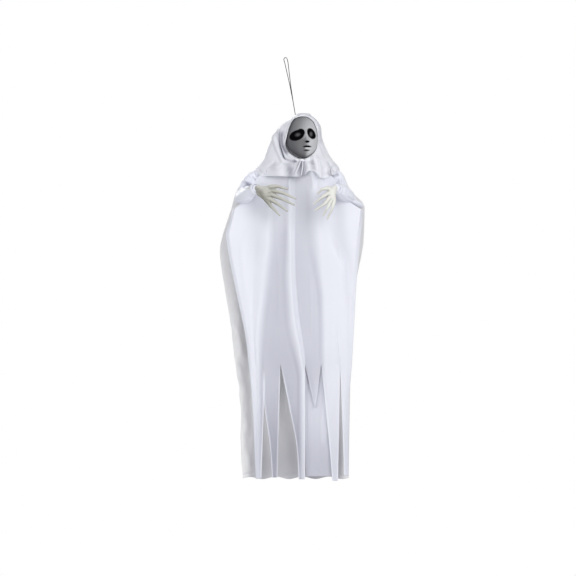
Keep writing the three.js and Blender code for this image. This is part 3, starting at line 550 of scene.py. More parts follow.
def make_cord():
    route = catmull_rom(CORD_ROUTE, CORD_STEPS)
    travelled = along_line(route)

    def radius(row, turn):
        twist = 2 * math.pi * travelled[row] / PLY_LENGTH
        return CORD_RADIUS * (0.94 + 0.14 * np.abs(np.cos(turn - twist)))

    made = piece("cord_strands", *tube(route, radius, 14))
    finish_piece(made, "cord", "cord_black", TWINE, "hanging_cord")


make_cord()


# Face opening of the hood, as the photograph shows it
OPENING_CENTRE = (41, -195)
OPENING = [
    (43, -142.5), (33, -143.5), (24, -147), (17.6, -152), (12, -161.7), (8, -171.5), (5.5, -181.3),
    (3, -191.1), (0.6, -200.9), (-1, -210.7), (1, -220.5), (4, -227), (9, -233), (16, -238.5), (24, -243.5),
    (33, -246.8), (42, -247.6), (52, -245.4), (61, -240.4), (66, -236), (71, -230.8), (75, -224.5),
    (77.6, -217), (78.8, -207), (78.9, -196), (78.4, -184), (76, -171.5), (72, -161.7), (65.9, -152.4),
    (58, -146.4), (50, -143),
]


def opening_radial(points):
    """How far out a point lies from the middle of the face opening, where 1 is the opening's edge."""
    x, z = seen(points)
    outline = np.array(OPENING + OPENING[:1], float) - OPENING_CENTRE
    angle = np.unwrap(np.arctan2(outline[:, 1], outline[:, 0]))
    reach = np.hypot(outline[:, 0], outline[:, 1])
    around = np.concatenate([angle - 2 * math.pi, angle[1:], angle[1:] + 2 * math.pi])
    table = list(zip(around, np.concatenate([reach, reach[1:], reach[1:]])))
    dx, dz = x - OPENING_CENTRE[0], z - OPENING_CENTRE[1]
    return np.hypot(dx, dz) / read(table, np.arctan2(dz, dx))


# Head
HEAD_CENTRE = (39, 0, -192)
HEAD_TURN = (Matrix.Translation(HEAD_CENTRE) @ Matrix.Rotation(math.radians(14), 4, "Z")
             @ Matrix.Rotation(math.radians(1.5), 4, "Y") @ Matrix.Rotation(math.radians(-8), 4, "X"))
TO_WORLD = np.array(HEAD_TURN)
TO_HEAD = np.array(HEAD_TURN.inverted())
HEAD_HALF_WIDTH, HEAD_HALF_DEPTH = 40, 50
HEAD_UP, HEAD_DOWN = 52.5, 60
CHIN_FORWARD = 26
HEAD_SPOKES, HEAD_RINGS = 320, 300
JAW = [(0, 1.02), (0.31, 1.06), (0.56, 1.07), (0.72, 1.0), (0.8, 0.92), (0.88, 0.78), (1, 0.55)]
# Painted shade on the face, darkest on its left, away from the light: x and share of dark grey below the
# cheeks
CHEEK_SHADE = [
    (0, 0.84), (8, 0.9), (16, 0.96), (26, 0.95), (36, 0.9), (45, 0.9), (50, 0.72), (54, 0.28), (58, 0),
]
CHEEK_TOP, CHEEK_FADE = -186, 16
BROW_SHADE, BROW_EDGE, BROW_FADE = 0.78, 60, 46
HOOD_SHADOW = 0.5
# Swells and hollows of the face: middle, half width, half height, height
FACE_RELIEF = [
    (50.5, -183, 5.5, 12, 5), (52, -194, 6, 10, 6.5), (53, -201.5, 6.5, 5.5, 6),
    (28, -189.5, 17, 12, -6), (61.5, -186, 10, 13, -5), (29, -189, 9, 6, 4.5), (62, -187, 5, 6.5, 4),
    (30, -174, 15, 6, 2), (60, -170, 9, 6, 1.5),
    (54.5, -213.5, 11, 4, 3), (54.5, -217, 11, 1.6, -2.6), (55.5, -221, 9, 3, 3.2), (53, -227, 8, 2.5, -2.2),
    (51, -239, 13, 8, 3), (20, -214, 14, 12, 1.5), (68, -209, 8, 12, 1),
    (47.8, -204, 2.8, 3, 2.2), (57.6, -203.5, 2.4, 3, 2), (50.5, -206.5, 1.8, 1.6, -2.4),
    (55.5, -206.5, 1.6, 1.6, -2.4), (44, -217, 3, 3, -1), (64.5, -217, 3, 3, -1),
]
# Ovals painted on the face: middle, half sizes, tilt in degrees, soft edge, strength. The first four are the
# black eyes; the last two are painted shadow, under the lower lip and in the nostrils
INK_AND_SHADOW = [
    ((27.8, -189.5), (19.6, 12.4), 22, 2.5, 1), ((37.5, -182.5), (10, 9.5), 0, 2.5, 1),
    ((63.2, -185.3), (14.6, 9), -62, 2, 1), ((68, -190), (6.2, 8.5), 10, 2, 1),
    ((52, -226.4), (7.4, 2), 0, 1.8, 0.85), ((53.4, -204.8), (5.4, 3.1), 0, 1.8, 1),
]
# The line between the lips: painted shadow in the crease
MOUTH = ((53, -216.4), (10, 2.5), 0, 1.4, 1)
MOUTH_BOW = 0.012
# Painted highlights in the eyes
GLINT = [((29.8, -188), (5.4, 3.6), 15, 6, 0.3), ((62.4, -186.5), (3, 4.6), 0, 5, 0.39)]
# Painted highlight on the lower lip
LIP = ((56, -221), (8, 2.1), 0, 1.6, 0.8)


def transformed(matrix, points):
    """Points moved by a 4 by 4 matrix."""
    return points @ matrix[:3, :3].T + matrix[:3, 3]


def head_points(way):
    """Points of the head's surface, in the head's own frame, for directions from its middle."""
    low = np.maximum(0, -way[:, 2])
    temple = 1 + 0.02 * smooth(1 - way[:, 2] * 4)
    across = HEAD_HALF_WIDTH * way[:, 0] * np.where(low > 0, read(JAW, low), temple)
    height = np.where(way[:, 2] > 0, HEAD_UP, HEAD_DOWN) * way[:, 2]
    depth = HEAD_HALF_DEPTH * way[:, 1] - CHIN_FORWARD * low * low
    front = np.where(way[:, 1] < 0, np.minimum(1, 2.5 * way[:, 1] ** 2), 0)
    points = np.stack([across, depth, height], axis=1)
    x, z = seen(transformed(TO_WORLD, points))
    relief = sum(rise * np.exp(-2 * (((x - middle_x) / wide) ** 2 + ((z - middle_z) / tall) ** 2))
                 for middle_x, middle_z, wide, tall, rise in FACE_RELIEF)
    points[:, 1] -= relief * front
    return points


def blob(x, z, centre, half, tilt, soft):
    """1 inside a tilted oval, falling to 0 over a soft edge, in the front view."""
    c, s = math.cos(math.radians(tilt)), math.sin(math.radians(tilt))
    dx, dz = x - centre[0], z - centre[1]
    u, v = (dx * c + dz * s) / half[0], (-dx * s + dz * c) / half[1]
    return smooth((1 - np.hypot(u, v)) * min(half) / soft + 0.5)


def painted(x, z, ovals):
    """The strongest of several painted ovals at each point."""
    return np.maximum.reduce([strength * blob(x, z, *oval) for *oval, strength in ovals])


def make_head():
    """The head as one casting, painted by numbers stored at its vertices."""
    pole_to_pole = np.linspace(0, math.pi, HEAD_RINGS + 1)[1:-1]
    v, u = np.meshgrid(pole_to_pole, round_turn(HEAD_SPOKES), indexing="ij")
    way = np.stack([np.sin(v) * np.cos(u), -np.cos(v), np.sin(v) * np.sin(u)], axis=-1).reshape(-1, 3)
    way = np.concatenate([way, [[0, -1, 0], [0, 1, 0]]])
    points = transformed(TO_WORLD, head_points(way))
    made = piece("head_casting", points, capped_faces(HEAD_SPOKES, HEAD_RINGS - 1))
    x, z = seen(points)
    front = way[:, 1] < 0
    mouth = painted(x, z + MOUTH_BOW * (x - MOUTH[0][0]) ** 2, [MOUTH])
    # Painted shade on the side away from the light, and painted shadow by the hood's edge
    brow = BROW_SHADE * smooth((BROW_EDGE - x + 0.3 * (z + 200)) / BROW_FADE)
    shade = brow + (read(CHEEK_SHADE, x) - brow) * smooth((CHEEK_TOP - z) / CHEEK_FADE)
    by_the_hood = smooth((opening_radial(points) - 0.93) / 0.05)
    shade += HOOD_SHADOW * by_the_hood * smooth((58 - x) / 20) * smooth((-176 - z) / 30)
    mark(made, "ink_and_shadow", np.maximum(painted(x, z, INK_AND_SHADOW), mouth) * front)
    mark(made, "glint", painted(x, z, GLINT) * front)
    mark(made, "lip", painted(x, z, [LIP]) * front)
    mark(made, "shade", np.clip(shade, 0, 1) * front)
    finish_piece(made, "head", "face_grey", FACE, "head_back_shell", "face_shell")


make_head()


# Hood and cape, ring by ring: [height, left, right, front, back]
RINGS = [
    (-135.2, 42.99, 43.01, -0.01, 0.01), (-136.5, 29, 57, -15, 14), (-142.5, 22, 65, -28, 27),
    (-150, 10, 74, -37, 40), (-160, -4, 82, -44, 49), (-172, -18, 87, -47, 55), (-190, -29, 88.5, -42, 59),
    (-210, -37, 94, -38, 60), (-230, -46, 103, -42, 59), (-250, -57, 115, -51, 57),
    (-262, -65, 124, -53, 55), (-276, -74, 130, -54, 52), (-290, -79, 133, -53, 49),
]
CAPE_HEM = [
    (-80, -279), (-70, -284.5), (-56, -290.5), (0, -292), (40, -293), (46, -290), (54, -281.5), (60, -278),
    (66, -278), (78, -286), (85, -295), (95, -296.5), (108, -291), (118, -286), (127, -281), (134, -277),
]
HOOD_HEM_BEHIND = -296
# Folds and shades in the front view: the line, reach left and right, height, fade in and fade out
HOOD_FOLDS = [
    ([(-21, -176), (-18, -190), (-15.7, -204.6), (-10.3, -225.4), (-3.4, -244.3),
      (4, -250)], 3.6, 3.2, -10, 50, 8),
    ([(-30, -172), (-26, -196), (-22, -216), (-15, -236), (-6, -252), (12, -262)], 8, 6, 4.5, 30, 16),
    ([(-12, -160), (-11, -190), (-8, -215), (-1, -236), (11, -249), (26, -254)], 7, 7, 4.5, 30, 14),
    ([(-8, -176), (-8, -206), (-1, -230), (10, -246)], 3, 3, -2.2, 20, 10),
    ([(8, -148), (-8, -168), (-14, -192)], 5, 5, 2.0, 14, 12),
    ([(-6, -146), (-26, -176), (-38, -214), (-50, -250)], 10, 12, 3.0, 20, 30),
    ([(-2, -252), (-14, -264), (-34, -272)], 9, 9, 3.5, 12, 14),
    ([(-22, -250), (-36, -262), (-50, -270)], 7, 6, -3.0, 12, 14),
    ([(24, -256), (12, -270), (2, -286)], 7, 7, -3.5, 8, 14),
    ([(36, -256), (30, -272), (24, -290)], 6, 6, -3.5, 8, 14),
    ([(48, -252), (47, -268), (44, -286)], 6, 5, 2.5, 8, 14),
    ([(63.5, -236), (65, -252), (66, -268)], 4.5, 4.5, 4.0, 10, 10),
    ([(76, -240), (82, -256), (84.5, -270), (85, -292)], 5, 5, 4.0, 12, 8),
    ([(92, -262), (95, -276), (96, -292)], 8, 8, -3.5, 10, 10),
    ([(98, -240), (110, -258), (118, -274)], 8, 9, 3.0, 14, 12),
    ([(104, -268), (108, -280), (110, -290)], 4, 4, -4.5, 8, 8),
    ([(112, -264), (118, -276), (122, -284)], 4, 4, -3.5, 8, 8),
    ([(-60, -272), (-66, -279), (-72, -286)], 4, 4, -4.0, 6, 6),
    ([(-47, -274), (-52, -282), (-57, -290)], 4, 4, -4.0, 6, 6),
]
# Painted shade on the hood and cape, as strokes: in the groove, under the chin and tie, by the face and over
# the cape
HOOD_SHADE = [
    ([(-21, -176), (-18, -190), (-15.7, -204.6), (-10.3, -225.4), (-3.4, -244.3)], 3, 3, 0.9, 70, 4),
    ([(14, -250), (23, -253.5), (30, -252)], 4.5, 4.5, 0.35, 6, 6),
    ([(-8, -176), (-8, -206), (-1, -230), (10, -246)], 2.4, 2.4, 0.18, 20, 8),
    ([(63, -240), (66, -256), (68, -272)], 3, 5, 0.16, 8, 8),
    ([(98, -250), (108, -268), (114, -284)], 5, 5, 0.22, 12, 6),
    ([(108, -262), (116, -276), (120, -286)], 3, 3, 0.26, 8, 6),
    ([(14, -262), (14, -276), (16, -290)], 16, 14, 0.2, 8, 10),
    ([(34, -250), (35, -270), (36, -298)], 21, 21, 0.5, 6, 3),
    ([(-3, -170), (-8, -182), (-11, -196), (-9, -210), (-2, -224), (8, -240)], 11, 11, 0.8, 20, 12),
    ([(-24, -250), (-28, -270), (-30, -298)], 26, 22, 0.26, 14, 3),
    ([(8, -252), (10, -274), (12, -298)], 20, 18, 0.55, 8, 3),
    ([(42, -250), (44, -270), (46, -298)], 16, 16, 0.45, 8, 3),
    ([(60, -248), (66, -264), (70, -288)], 12, 12, 0.5, 8, 6),
    ([(0, -248), (14, -252.5), (28, -254)], 6, 6, 0.45, 6, 6),
    ([(20, -248), (24, -253), (30, -254)], 4, 4, 0.5, 4, 4),
    ([(48, -258), (52, -270), (54, -282)], 8, 6, 0.10, 6, 8),
    ([(95, -270), (97, -282), (97, -294)], 10, 9, 0.14, 8, 8),
    ([(101, -274), (108, -284), (113, -294)], 6, 6, 0.5, 6, 3),
    ([(-66, -272), (-58, -278), (-50, -284)], 6, 6, 0.12, 8, 8),
    ([(-6, -160), (-26, -176), (-40, -214), (-52, -250)], 16, 12, 0.06, 20, 30),
    ([(40, -139), (60, -141), (76, -152), (85, -172), (87, -196), (85, -216)], 10, 10, 0.3, 20, 14),
]
CLOTH = 0.8
HOOD_COLUMNS, HOOD_ROWS = 460, 170
HOOD_AXIS_X = 27
HEM_LEVEL = -290
CORD_HOLE = np.array([25.2, 12])
CORD_HOLE_HALF = np.array([3.6, 2.8])
CROWN_Z = -160
FACE_SIDE = -4
FACE_EDGE, FACE_GAP = 0.965, 1.5
# The hood lies close to the face beyond these x and above these z
HUG_RIGHT, HUG_TOP = (44, -244), (14, -172)
HUG_FADE, HUG_REACH = 16, 1.34
WELD = 0.05
# The band turned in at the face opening gets painted shade
RETURN_STEPS, RETURN_BACK, RETURN_SHADE = 14, -12, 0.25


def hood_rows(count):
    """The rings of the hood at even steps down the cloth, and how far down each is."""
    rings = np.array(RINGS, float)
    rise = np.hypot(np.diff(rings[:, 0]), np.diff((rings[:, 2] - rings[:, 1]) / 2))
    travelled = np.concatenate([[0], np.cumsum(rise)])
    at = np.linspace(0, travelled[-1], count + 1)
    columns = [read(list(zip(travelled, column)), at) for column in rings.T]
    return at / travelled[-1], np.stack(columns, axis=1)


def face_depth(points):
    """Depth of the face, in front of the given points, read just inside the edge of the opening."""
    tree = BVHTree.FromObject(bpy.data.objects["head_casting"], bpy.context.evaluated_depsgraph_get())
    middle = np.array(OPENING_CENTRE)
    flat = points[:, (0, 2)] - middle
    flat *= np.minimum(1, FACE_EDGE / np.maximum(opening_radial(points), 0.1))[:, None]
    depth = points[:, 1].copy()
    for row, (x, z) in enumerate(flat + middle):
        hit = tree.ray_cast(Vector((x * MM, -0.3, z * MM)), Vector((0, 1, 0)))[0]
        if hit:
            depth[row] = max(hit.y / MM - FACE_GAP, depth[row])
    return depth


def hood_surface():
    """The hood and cape before the face opening is cut, as points and the painted shade of each."""
    share, rings = hood_rows(HOOD_ROWS)
    z, left, right, front, back = (np.repeat(rings[:, k], HOOD_COLUMNS) for k in range(5))
    angle = np.tile(round_turn(HOOD_COLUMNS), HOOD_ROWS + 1)
    down = np.repeat(share, HOOD_COLUMNS)
    side = np.sin(angle)
    depth = np.where(side > 0, back, -front)
    points = np.stack([(left + right) / 2 + (right - left) / 2 * np.cos(angle), depth * side, z], axis=1)
    normals = grid_normals(points, grid_faces(HOOD_COLUMNS, HOOD_ROWS, closed=True))
    outward = points[:, :2] - (HOOD_AXIS_X, 0)
    normals *= np.where((normals[:, :2] * outward).sum(1) < 0, -1, 1)[:, None]
    facing = facing_front(normals)
    shown = seen(points)
    behind = smooth(points[:, 1] / 20)
    hang = smooth((down - 0.25) / 0.5)
    lift = strokes(*shown, HOOD_FOLDS) * facing
    lift += behind * hang * (2.6 * np.cos(11 * angle + 2.2 * np.sin(3 * down)) + 1.2 * np.cos(23 * angle))
    lift += 0.7 * cloud(points * [1, 1, 0.6], 26, 3) * hang
    points = points + normals * lift[:, None]
    hem = read(CAPE_HEM, shown[0])
    hem += (HOOD_HEM_BEHIND - hem) * smooth(points[:, 1] / 30)
    points[:, 2] += (hem - HEM_LEVEL) * smooth((down - 0.78) / 0.22)
    return points, np.clip(strokes(*shown, HOOD_SHADE), 0, 1) * facing


def hug_face(points, radial):
    """Draws the hood's right and upper edge back to the face."""
    x, y, z = points.T
    right = smooth((x - HUG_RIGHT[0]) / (1.25 * HUG_FADE)) * smooth((z - HUG_RIGHT[1]) / HUG_FADE)
    top = smooth((x - HUG_TOP[0]) / HUG_FADE) * smooth((z - HUG_TOP[1]) / HUG_FADE)
    hug = np.maximum(right, top) * smooth((HUG_REACH - radial) / 0.3) * (y < 0)
    move = np.nonzero(hug > 0)[0]
    points[move, 1] += hug[move] * (face_depth(points[move]) - points[move, 1])


def return_band(points, edge):
    """The cloth turned in from the edge of the face opening to the side of the head."""
    loop = np.nonzero(edge)[0]
    middle = np.array([OPENING_CENTRE[0], 0, OPENING_CENTRE[1]])
    out = points[loop] - middle
    rim = points[loop[np.argsort(np.arctan2(out[:, 2], out[:, 0]))]]
    rows = []
    for step in range(RETURN_STEPS + 1):
        share = step / RETURN_STEPS
        row = middle + (rim - middle) * (1 + 0.012 * math.sin(math.pi * share) * np.array([1, 0, 1]))
        row[:, 1] = rim[:, 1] + (np.maximum(rim[:, 1] + 2, RETURN_BACK) - rim[:, 1]) * share
        rows.append(row)
    return np.concatenate(rows), grid_faces(len(loop), RETURN_STEPS, closed=True).tolist()


def make_hood():
    """The hood and the cape as one cloth, with holes for the face and the cord."""
    points, shade = hood_surface()
    faces = grid_faces(HOOD_COLUMNS, HOOD_ROWS, closed=True)
    radial = opening_radial(points)
    inside = (radial < 1) & (transformed(TO_HEAD, points)[:, 1] < FACE_SIDE)
    from_cord = (points[:, :2] - CORD_HOLE) / CORD_HOLE_HALF
    cord_reach = np.hypot(from_cord[:, 0], from_cord[:, 1])
    in_hole = (cord_reach < 1) & (points[:, 2] > CROWN_Z)
    kept = faces[~(inside[faces].all(axis=1) | in_hole[faces].all(axis=1))]
    used = np.unique(kept)
    in_use = np.isin(np.arange(len(points)), used)
    rim = in_hole & in_use
    points[rim, :2] = CORD_HOLE + from_cord[rim] / cord_reach[rim, None] * CORD_HOLE_HALF
    edge = inside & in_use
    for axis, middle in zip((0, 2), OPENING_CENTRE):
        points[edge, axis] = middle + (points[edge, axis] - middle) * (1 / radial[edge])
    hug_face(points, radial)
    band = return_band(points, edge)
    number = np.full(len(points), -1)
    number[used] = np.arange(len(used))
    made = piece("hood_cloth", *joined([(points[used], number[kept].tolist()), band]))
    mark(made, "shade", np.concatenate([shade[used], np.full(len(band[0]), RETURN_SHADE)]))
    weld(made, WELD)
    thicken(made, CLOTH)
    return made


NECK_BLEND = ("head", "torso", (0.038, 0.002, -0.246), (0.038, 0.002, -0.284))
hood = make_hood()
finish_piece(hood, NECK_BLEND, "hood_white", HOOD, "hood", "cape")


# Tie under the chin: a knot with two thin ends
KNOT = [(35.5, -54.5, -252.5), (38.5, -57, -252), (42, -57, -252.5), (45, -54.5, -254)]
TIE_ENDS = [
    [(37.5, -57, -253), (34, -59.5, -262), (29, -60.5, -274), (23.5, -59.5, -287)],
    [(42, -57, -253), (42, -60, -263), (40.5, -61, -276), (38, -60, -290)],
]
TIE_STEP = 0.5


def make_tie():
    knot = polyline(KNOT, TIE_STEP)
    parts = [tube(knot, lambda row, turn: 2.2 + 0.8 * math.sin(math.pi * row / (len(knot) - 1)), 20)]
    for route in TIE_ENDS:
        path = polyline(route, TIE_STEP)
        count = len(path) - 1
        parts.append(tube(path, lambda row, turn: (0.9 + 0.8 * math.sin(math.pi * row / count) ** 0.8)
                          * (0.6 + 0.4 * np.abs(np.cos(turn))), 16))
    made = piece("chin_tie_cord", *joined(parts))
    remesh(made, 0.5, 4)
    finish_piece(made, NECK_BLEND, "hood_white", HOOD, "chin_tie")


make_tie()


# Robe
STRIP_TOP, ROBE_BEND = -750, -430
# Upper edge of the front panel: share of the way across, x, z
FRONT_TOP = [
    (0, -130, -374), (0.12, -104, -354), (0.2, -88, -342), (0.25, -78, -332), (0.28, -74, -300),
    (0.31, -56, -280), (0.5, 24, -276), (0.6, 60, -266), (0.69, 104, -280), (0.72, 122, -300),
    (0.75, 126, -336), (0.8, 138, -346), (0.88, 160, -356), (1, 190, -376),
]
FRONT_LEFT = [(-374, -130), (-430, -146), (-470, -141), (-568, -121.5), (-703, -94.6), (-750, -90)]
FRONT_RIGHT = [(-376, 190), (-430, 184), (-470, 180), (-568, 172), (-642, 168), (-750, 162)]
# Strips: columns, bottom, how far the edges curl, left edge, right edge
STRIPS = [
    (24, -1029, 1, [(-750, -90), (-838, -82), (-1029, -73)], [(-750, -53), (-820, -53), (-1029, -59)]),
    (26, -1026, 1, [(-750, -53), (-820, -53), (-960, -37), (-1026, -33)], [(-750, -12.5), (-1026, -20)]),
    (38, -1030, 1, [(-750, -12.5), (-850, 8), (-960, 28), (-1030, 32)], [(-750, 47.5), (-1030, 47.5)]),
    (26, -855, 0.35, [(-750, 47.5), (-855, 71)], [(-750, 87), (-855, 73)]),
    (30, -1034, 0.6, [(-750, 87), (-960, 108), (-1034, 114)], [(-750, 133), (-1034, 128)]),
    (20, -1022, 1, [(-750, 133), (-1022, 143)], [(-750, 162), (-838, 155), (-1022, 154)]),
]
FRONT_DEPTH = [(-281, -30), (-300, -30), (-430, -38), (-750, -36), (-1034, -28)]
FRONT_EDGE_DEPTH = [(-374, -20), (-430, -33), (-560, -35), (-750, -34), (-1034, -27)]
EDGE_TURN = 0.03
# Crests and troughs down the front panel: z, x, height, painted shade
FRONT_LINES = [
    [(-300, -104, 0, 0), (-446, -109, 2, 0), (-524, -102, 2, 0), (-593, -92, 2, 0), (-691, -85, 2, 0),
     (-1029, -72, 1, 0)],
    [(-300, -77, 0, 0.02), (-385, -77, -2, 0.03), (-446, -77, -3, 0.06), (-524, -82, -2, 0.01),
     (-593, -82, -1, 0), (-691, -78, 0, 0), (-789, -72, 0, 0), (-1029, -66, 0, 0)],
    [(-300, -43, 0, 0), (-385, -45, 2, 0.05), (-446, -45, 5, 0), (-524, -55, 5, 0), (-593, -61, 5, 0),
     (-691, -71, 3, 0), (-789, -68, 2, 0.02), (-1029, -60, 0, 0.1)],
    [(-300, -23, 0, 0), (-385, -24, -2, 0.12), (-446, -21, -7, 0.2), (-524, -28, -8, 0.24),
     (-593, -37, -8, 0.25), (-691, -48, -7, 0.26), (-789, -55, -5, 0.24), (-1029, -50, -4, 0.25)],
    [(-300, -4, 0, 0), (-385, -5, -3, 0.18), (-446, -6, -6, 0.26), (-524, -10, -6, 0.26),
     (-593, -8, -6, 0.26), (-647, -5, -6, 0.26), (-691, 3, -6, 0.26), (-725, 13, -5, 0.26),
     (-789, 27, -5, 0.25), (-1029, 27, -4, 0.25)],
    [(-300, 9, 2, 0), (-385, 10, 2, 0.06), (-446, 12, 5, 0), (-524, 13, 6, 0), (-593, 16, 6.5, 0),
     (-647, 22, 6.5, 0), (-691, 30, 6.5, 0), (-725, 37, 6.5, 0), (-760, 42, 6.5, 0), (-789, 43, 6, 0),
     (-1029, 43, 3, 0)],
    [(-300, 21, -2, 0.1), (-385, 21, -3, 0.12), (-446, 21.5, -2.5, 0), (-524, 22.5, -2.5, 0),
     (-593, 27, -3, 0), (-647, 33, -3, 0), (-691, 39.5, -2, 0), (-725, 44.5, 0, 0), (-760, 46, 5, 0),
     (-1029, 46.5, 2.8, 0)],
    [(-300, 25, -3, 0.16), (-385, 25, -5, 0.22), (-446, 25, -6, 0.23), (-524, 26, -7, 0.24),
     (-593, 31, -7, 0.23), (-647, 37, -7, 0.23), (-691, 44, -6, 0.22), (-725, 49, -5, 0.21),
     (-789, 56, -5, 0.2), (-1029, 56, -3, 0.2)],
    [(-300, 48, -3, 0.16), (-385, 48, -5, 0.24), (-446, 50, -6, 0.22), (-524, 65, -7, 0.2),
     (-593, 76, -6, 0.2), (-691, 79, -5, 0.2), (-789, 79, -4, 0.16), (-1029, 80, -3, 0.15)],
    [(-300, 66, 2, 0), (-385, 80, 3, 0.05), (-446, 86, 6, 0), (-524, 90, 6, 0), (-593, 96, 6, 0),
     (-691, 98, 5, 0), (-789, 101, 3, 0), (-1029, 106, 2, 0.04)],
    [(-300, 88, 2, 0), (-385, 98, 3, 0.05), (-446, 106, 5, 0), (-524, 138, 4, 0), (-593, 143, 3, 0),
     (-691, 147, 2, 0), (-789, 147, 2, 0), (-1029, 130, 1, 0.04)],
    [(-300, 116, 0, 0.03), (-385, 126, -2, 0.12), (-446, 133, -3, 0.12), (-524, 155, -1, 0.06),
     (-593, 157, -1, 0.04), (-691, 156, 0, 0.03), (-1029, 150, 0, 0.03)],
    [(-300, 145, 1, 0.02), (-385, 158, 2, 0), (-446, 163, 3, 0), (-524, 170, 1, 0.02), (-1029, 156, 0, 0.02)],
]
# Folds of the back panel: x and z at the top and at the bottom, reach left and right, height
BACK_FOLDS = [
    (-100, -420, -85, -1000, 22, 22, 6), (-45, -330, -40, -1000, 26, 22, 7), (20, -370, 25, -1000, 24, 24, 7),
    (85, -330, 80, -1000, 24, 26, 7), (140, -420, 128, -1000, 18, 18, 6),
]
FOLD_FADE = 60
ROBE_STROKES = [
    ([(62, -262), (64, -280), (66, -300)], 30, 30, 13, 1, 30),
    ([(66, -280), (66.5, -304), (65, -326)], 5, 5, 4, 8, 14),
    ([(85, -282), (86, -304), (84, -330)], 5, 5, 4, 8, 16),
    ([(75.5, -290), (76, -306), (75, -322)], 4, 4, -2, 8, 14),
    ([(8, -290), (8.5, -306), (8, -335)], 6, 7, 2.5, 8, 20),
    ([(-110, -430), (-104, -520), (-92, -640)], 9, 12, 1.5, 50, 80),
    ([(136, -468), (141, -492), (143, -540), (140, -600)], 5, 9, 2.5, 20, 60),
    ([(124, -452), (132, -478), (136, -510)], 6, 6, -2, 20, 24),
    ([(120, -640), (126, -700), (130, -752)], 4, 4, 2, 40, 8),
    ([(-20, -430), (-18, -560), (-22, -690)], 6, 7, 1.2, 60, 80),
    ([(58, -500), (62, -600), (64, -720)], 6, 6, 1.2, 60, 60),
]


def fold_height(folds, x, z):
    """Sum of straight soft folds."""
    total = np.zeros(len(x))
    for top_x, top_z, bottom_x, bottom_z, left, right, height in folds:
        centre = top_x + (bottom_x - top_x) * (z - top_z) / (bottom_z - top_z)
        offset = (x - centre) / np.where(x < centre, left, right)
        fade = smooth((top_z - z + FOLD_FADE) / (2 * FOLD_FADE)) * smooth(
            (z - bottom_z + 2 * FOLD_FADE) / (3 * FOLD_FADE))
        total += height * np.where(np.abs(offset) < 1, 0.5 + 0.5 * np.cos(np.pi * offset), 0) * fade
    return total


def front_depth(share, x, z):
    """How far back the front panel lies, and its painted shade."""
    turn = 1 - smooth(np.minimum(share, 1 - share) / EDGE_TURN)
    height, shade = between_lines(FRONT_LINES, x, z)
    flat = read(FRONT_DEPTH, z) - height - strokes(x, z, ROBE_STROKES)
    # Painted shade, darker towards the bottom and among the strips
    low = 0.08 * smooth((-640 - z) / 160)
    among_strips = 0.26 * smooth((-790 - z) / 200) * (1 - 0.5 * smooth((x - 90) / 20))
    return flat + (read(FRONT_EDGE_DEPTH, z) - flat) * turn, 1.7 * shade + (low + among_strips)


def front_share(x):
    """Share of the way across the front panel, at the height where the strips part."""
    left = read(FRONT_LEFT, STRIP_TOP)
    return np.clip((x - left) / (read(FRONT_RIGHT, STRIP_TOP) - left), 0, 1)


UPPER_ROWS, MIDDLE_ROWS = 70, 160
SLIT_WELD = 0.02
STRIP_STEP = 2.0
LIP_WIDTH, LIP_HEIGHT, LIP_LIGHT = 2.2, 3.0, 0.6
STRIP_BOW, STRIP_OPENS = 2.0, 60


def strip_grid(columns, bottom, edge_height, left, right):
    """One strip and the cloth above it: points, their painted shade, and faces."""
    low, high = read(left, STRIP_TOP), read(right, STRIP_TOP)
    across = np.linspace(0, 1, columns + 1)
    share = front_share(low + (high - low) * across)
    table = np.array(FRONT_TOP)
    top_x, top_z = (np.interp(share, table[:, 0], table[:, k]) for k in (1, 2))
    bend_left, bend_right = read(FRONT_LEFT, ROBE_BEND), read(FRONT_RIGHT, ROBE_BEND)
    bend_x = bend_left + (bend_right - bend_left) * share
    none = np.zeros(columns + 1)
    rows = []
    for mix in np.linspace(0, 1, UPPER_ROWS + 1)[:-1]:
        rows.append((top_x + (bend_x - top_x) * mix, top_z + (ROBE_BEND - top_z) * mix, share, none, none))
    for z in np.linspace(ROBE_BEND, STRIP_TOP, MIDDLE_ROWS + 1):
        low, high = read(FRONT_LEFT, z), read(FRONT_RIGHT, z)
        rows.append((low + (high - low) * share, none + z, share, none, none))
    strip_rows = max(12, int((STRIP_TOP - bottom) / STRIP_STEP))
    for z in np.linspace(STRIP_TOP, bottom, strip_rows + 1)[1:]:
        low, high = read(left, z), read(right, z)
        x = low + (high - low) * across
        opened = smooth((STRIP_TOP - z) / STRIP_OPENS)
        lip = edge_height * np.exp(-((x - low) / LIP_WIDTH) ** 2) * (left is not STRIPS[0][3])
        lip += edge_height * np.exp(-((high - x) / LIP_WIDTH) ** 2) * (right is not STRIPS[-1][4])
        bow = 1 - (2 * across - 1) ** 2
        curl = opened * (LIP_HEIGHT * lip + STRIP_BOW * bow)
        rows.append((x, none + z, front_share(x), curl, opened * lip))
    x, z, share, curl, light = (np.concatenate(values) for values in zip(*rows))
    y, shade = front_depth(share, x, z)
    points = np.stack([x, y - curl, z], axis=1)
    # The curled edges are lightened, a painted highlight
    return points, np.maximum(shade - LIP_LIGHT * light, 0), grid_faces(columns, len(rows) - 1)


# The second layer of cloth, close behind the middle strips
UNDER_COLUMNS, UNDER_ROWS = 26, 130
UNDER_TOP, UNDER_BOTTOM = -725, -1024
UNDER_GAP = 7
UNDER_LEFT = [(UNDER_TOP, 44), (-900, 46), (UNDER_BOTTOM, 50)]
UNDER_RIGHT = [(UNDER_TOP, 96), (-900, 108), (UNDER_BOTTOM, 120)]
UNDER_LIGHT = ((95.5, -888), (9, 56), -4, 6)


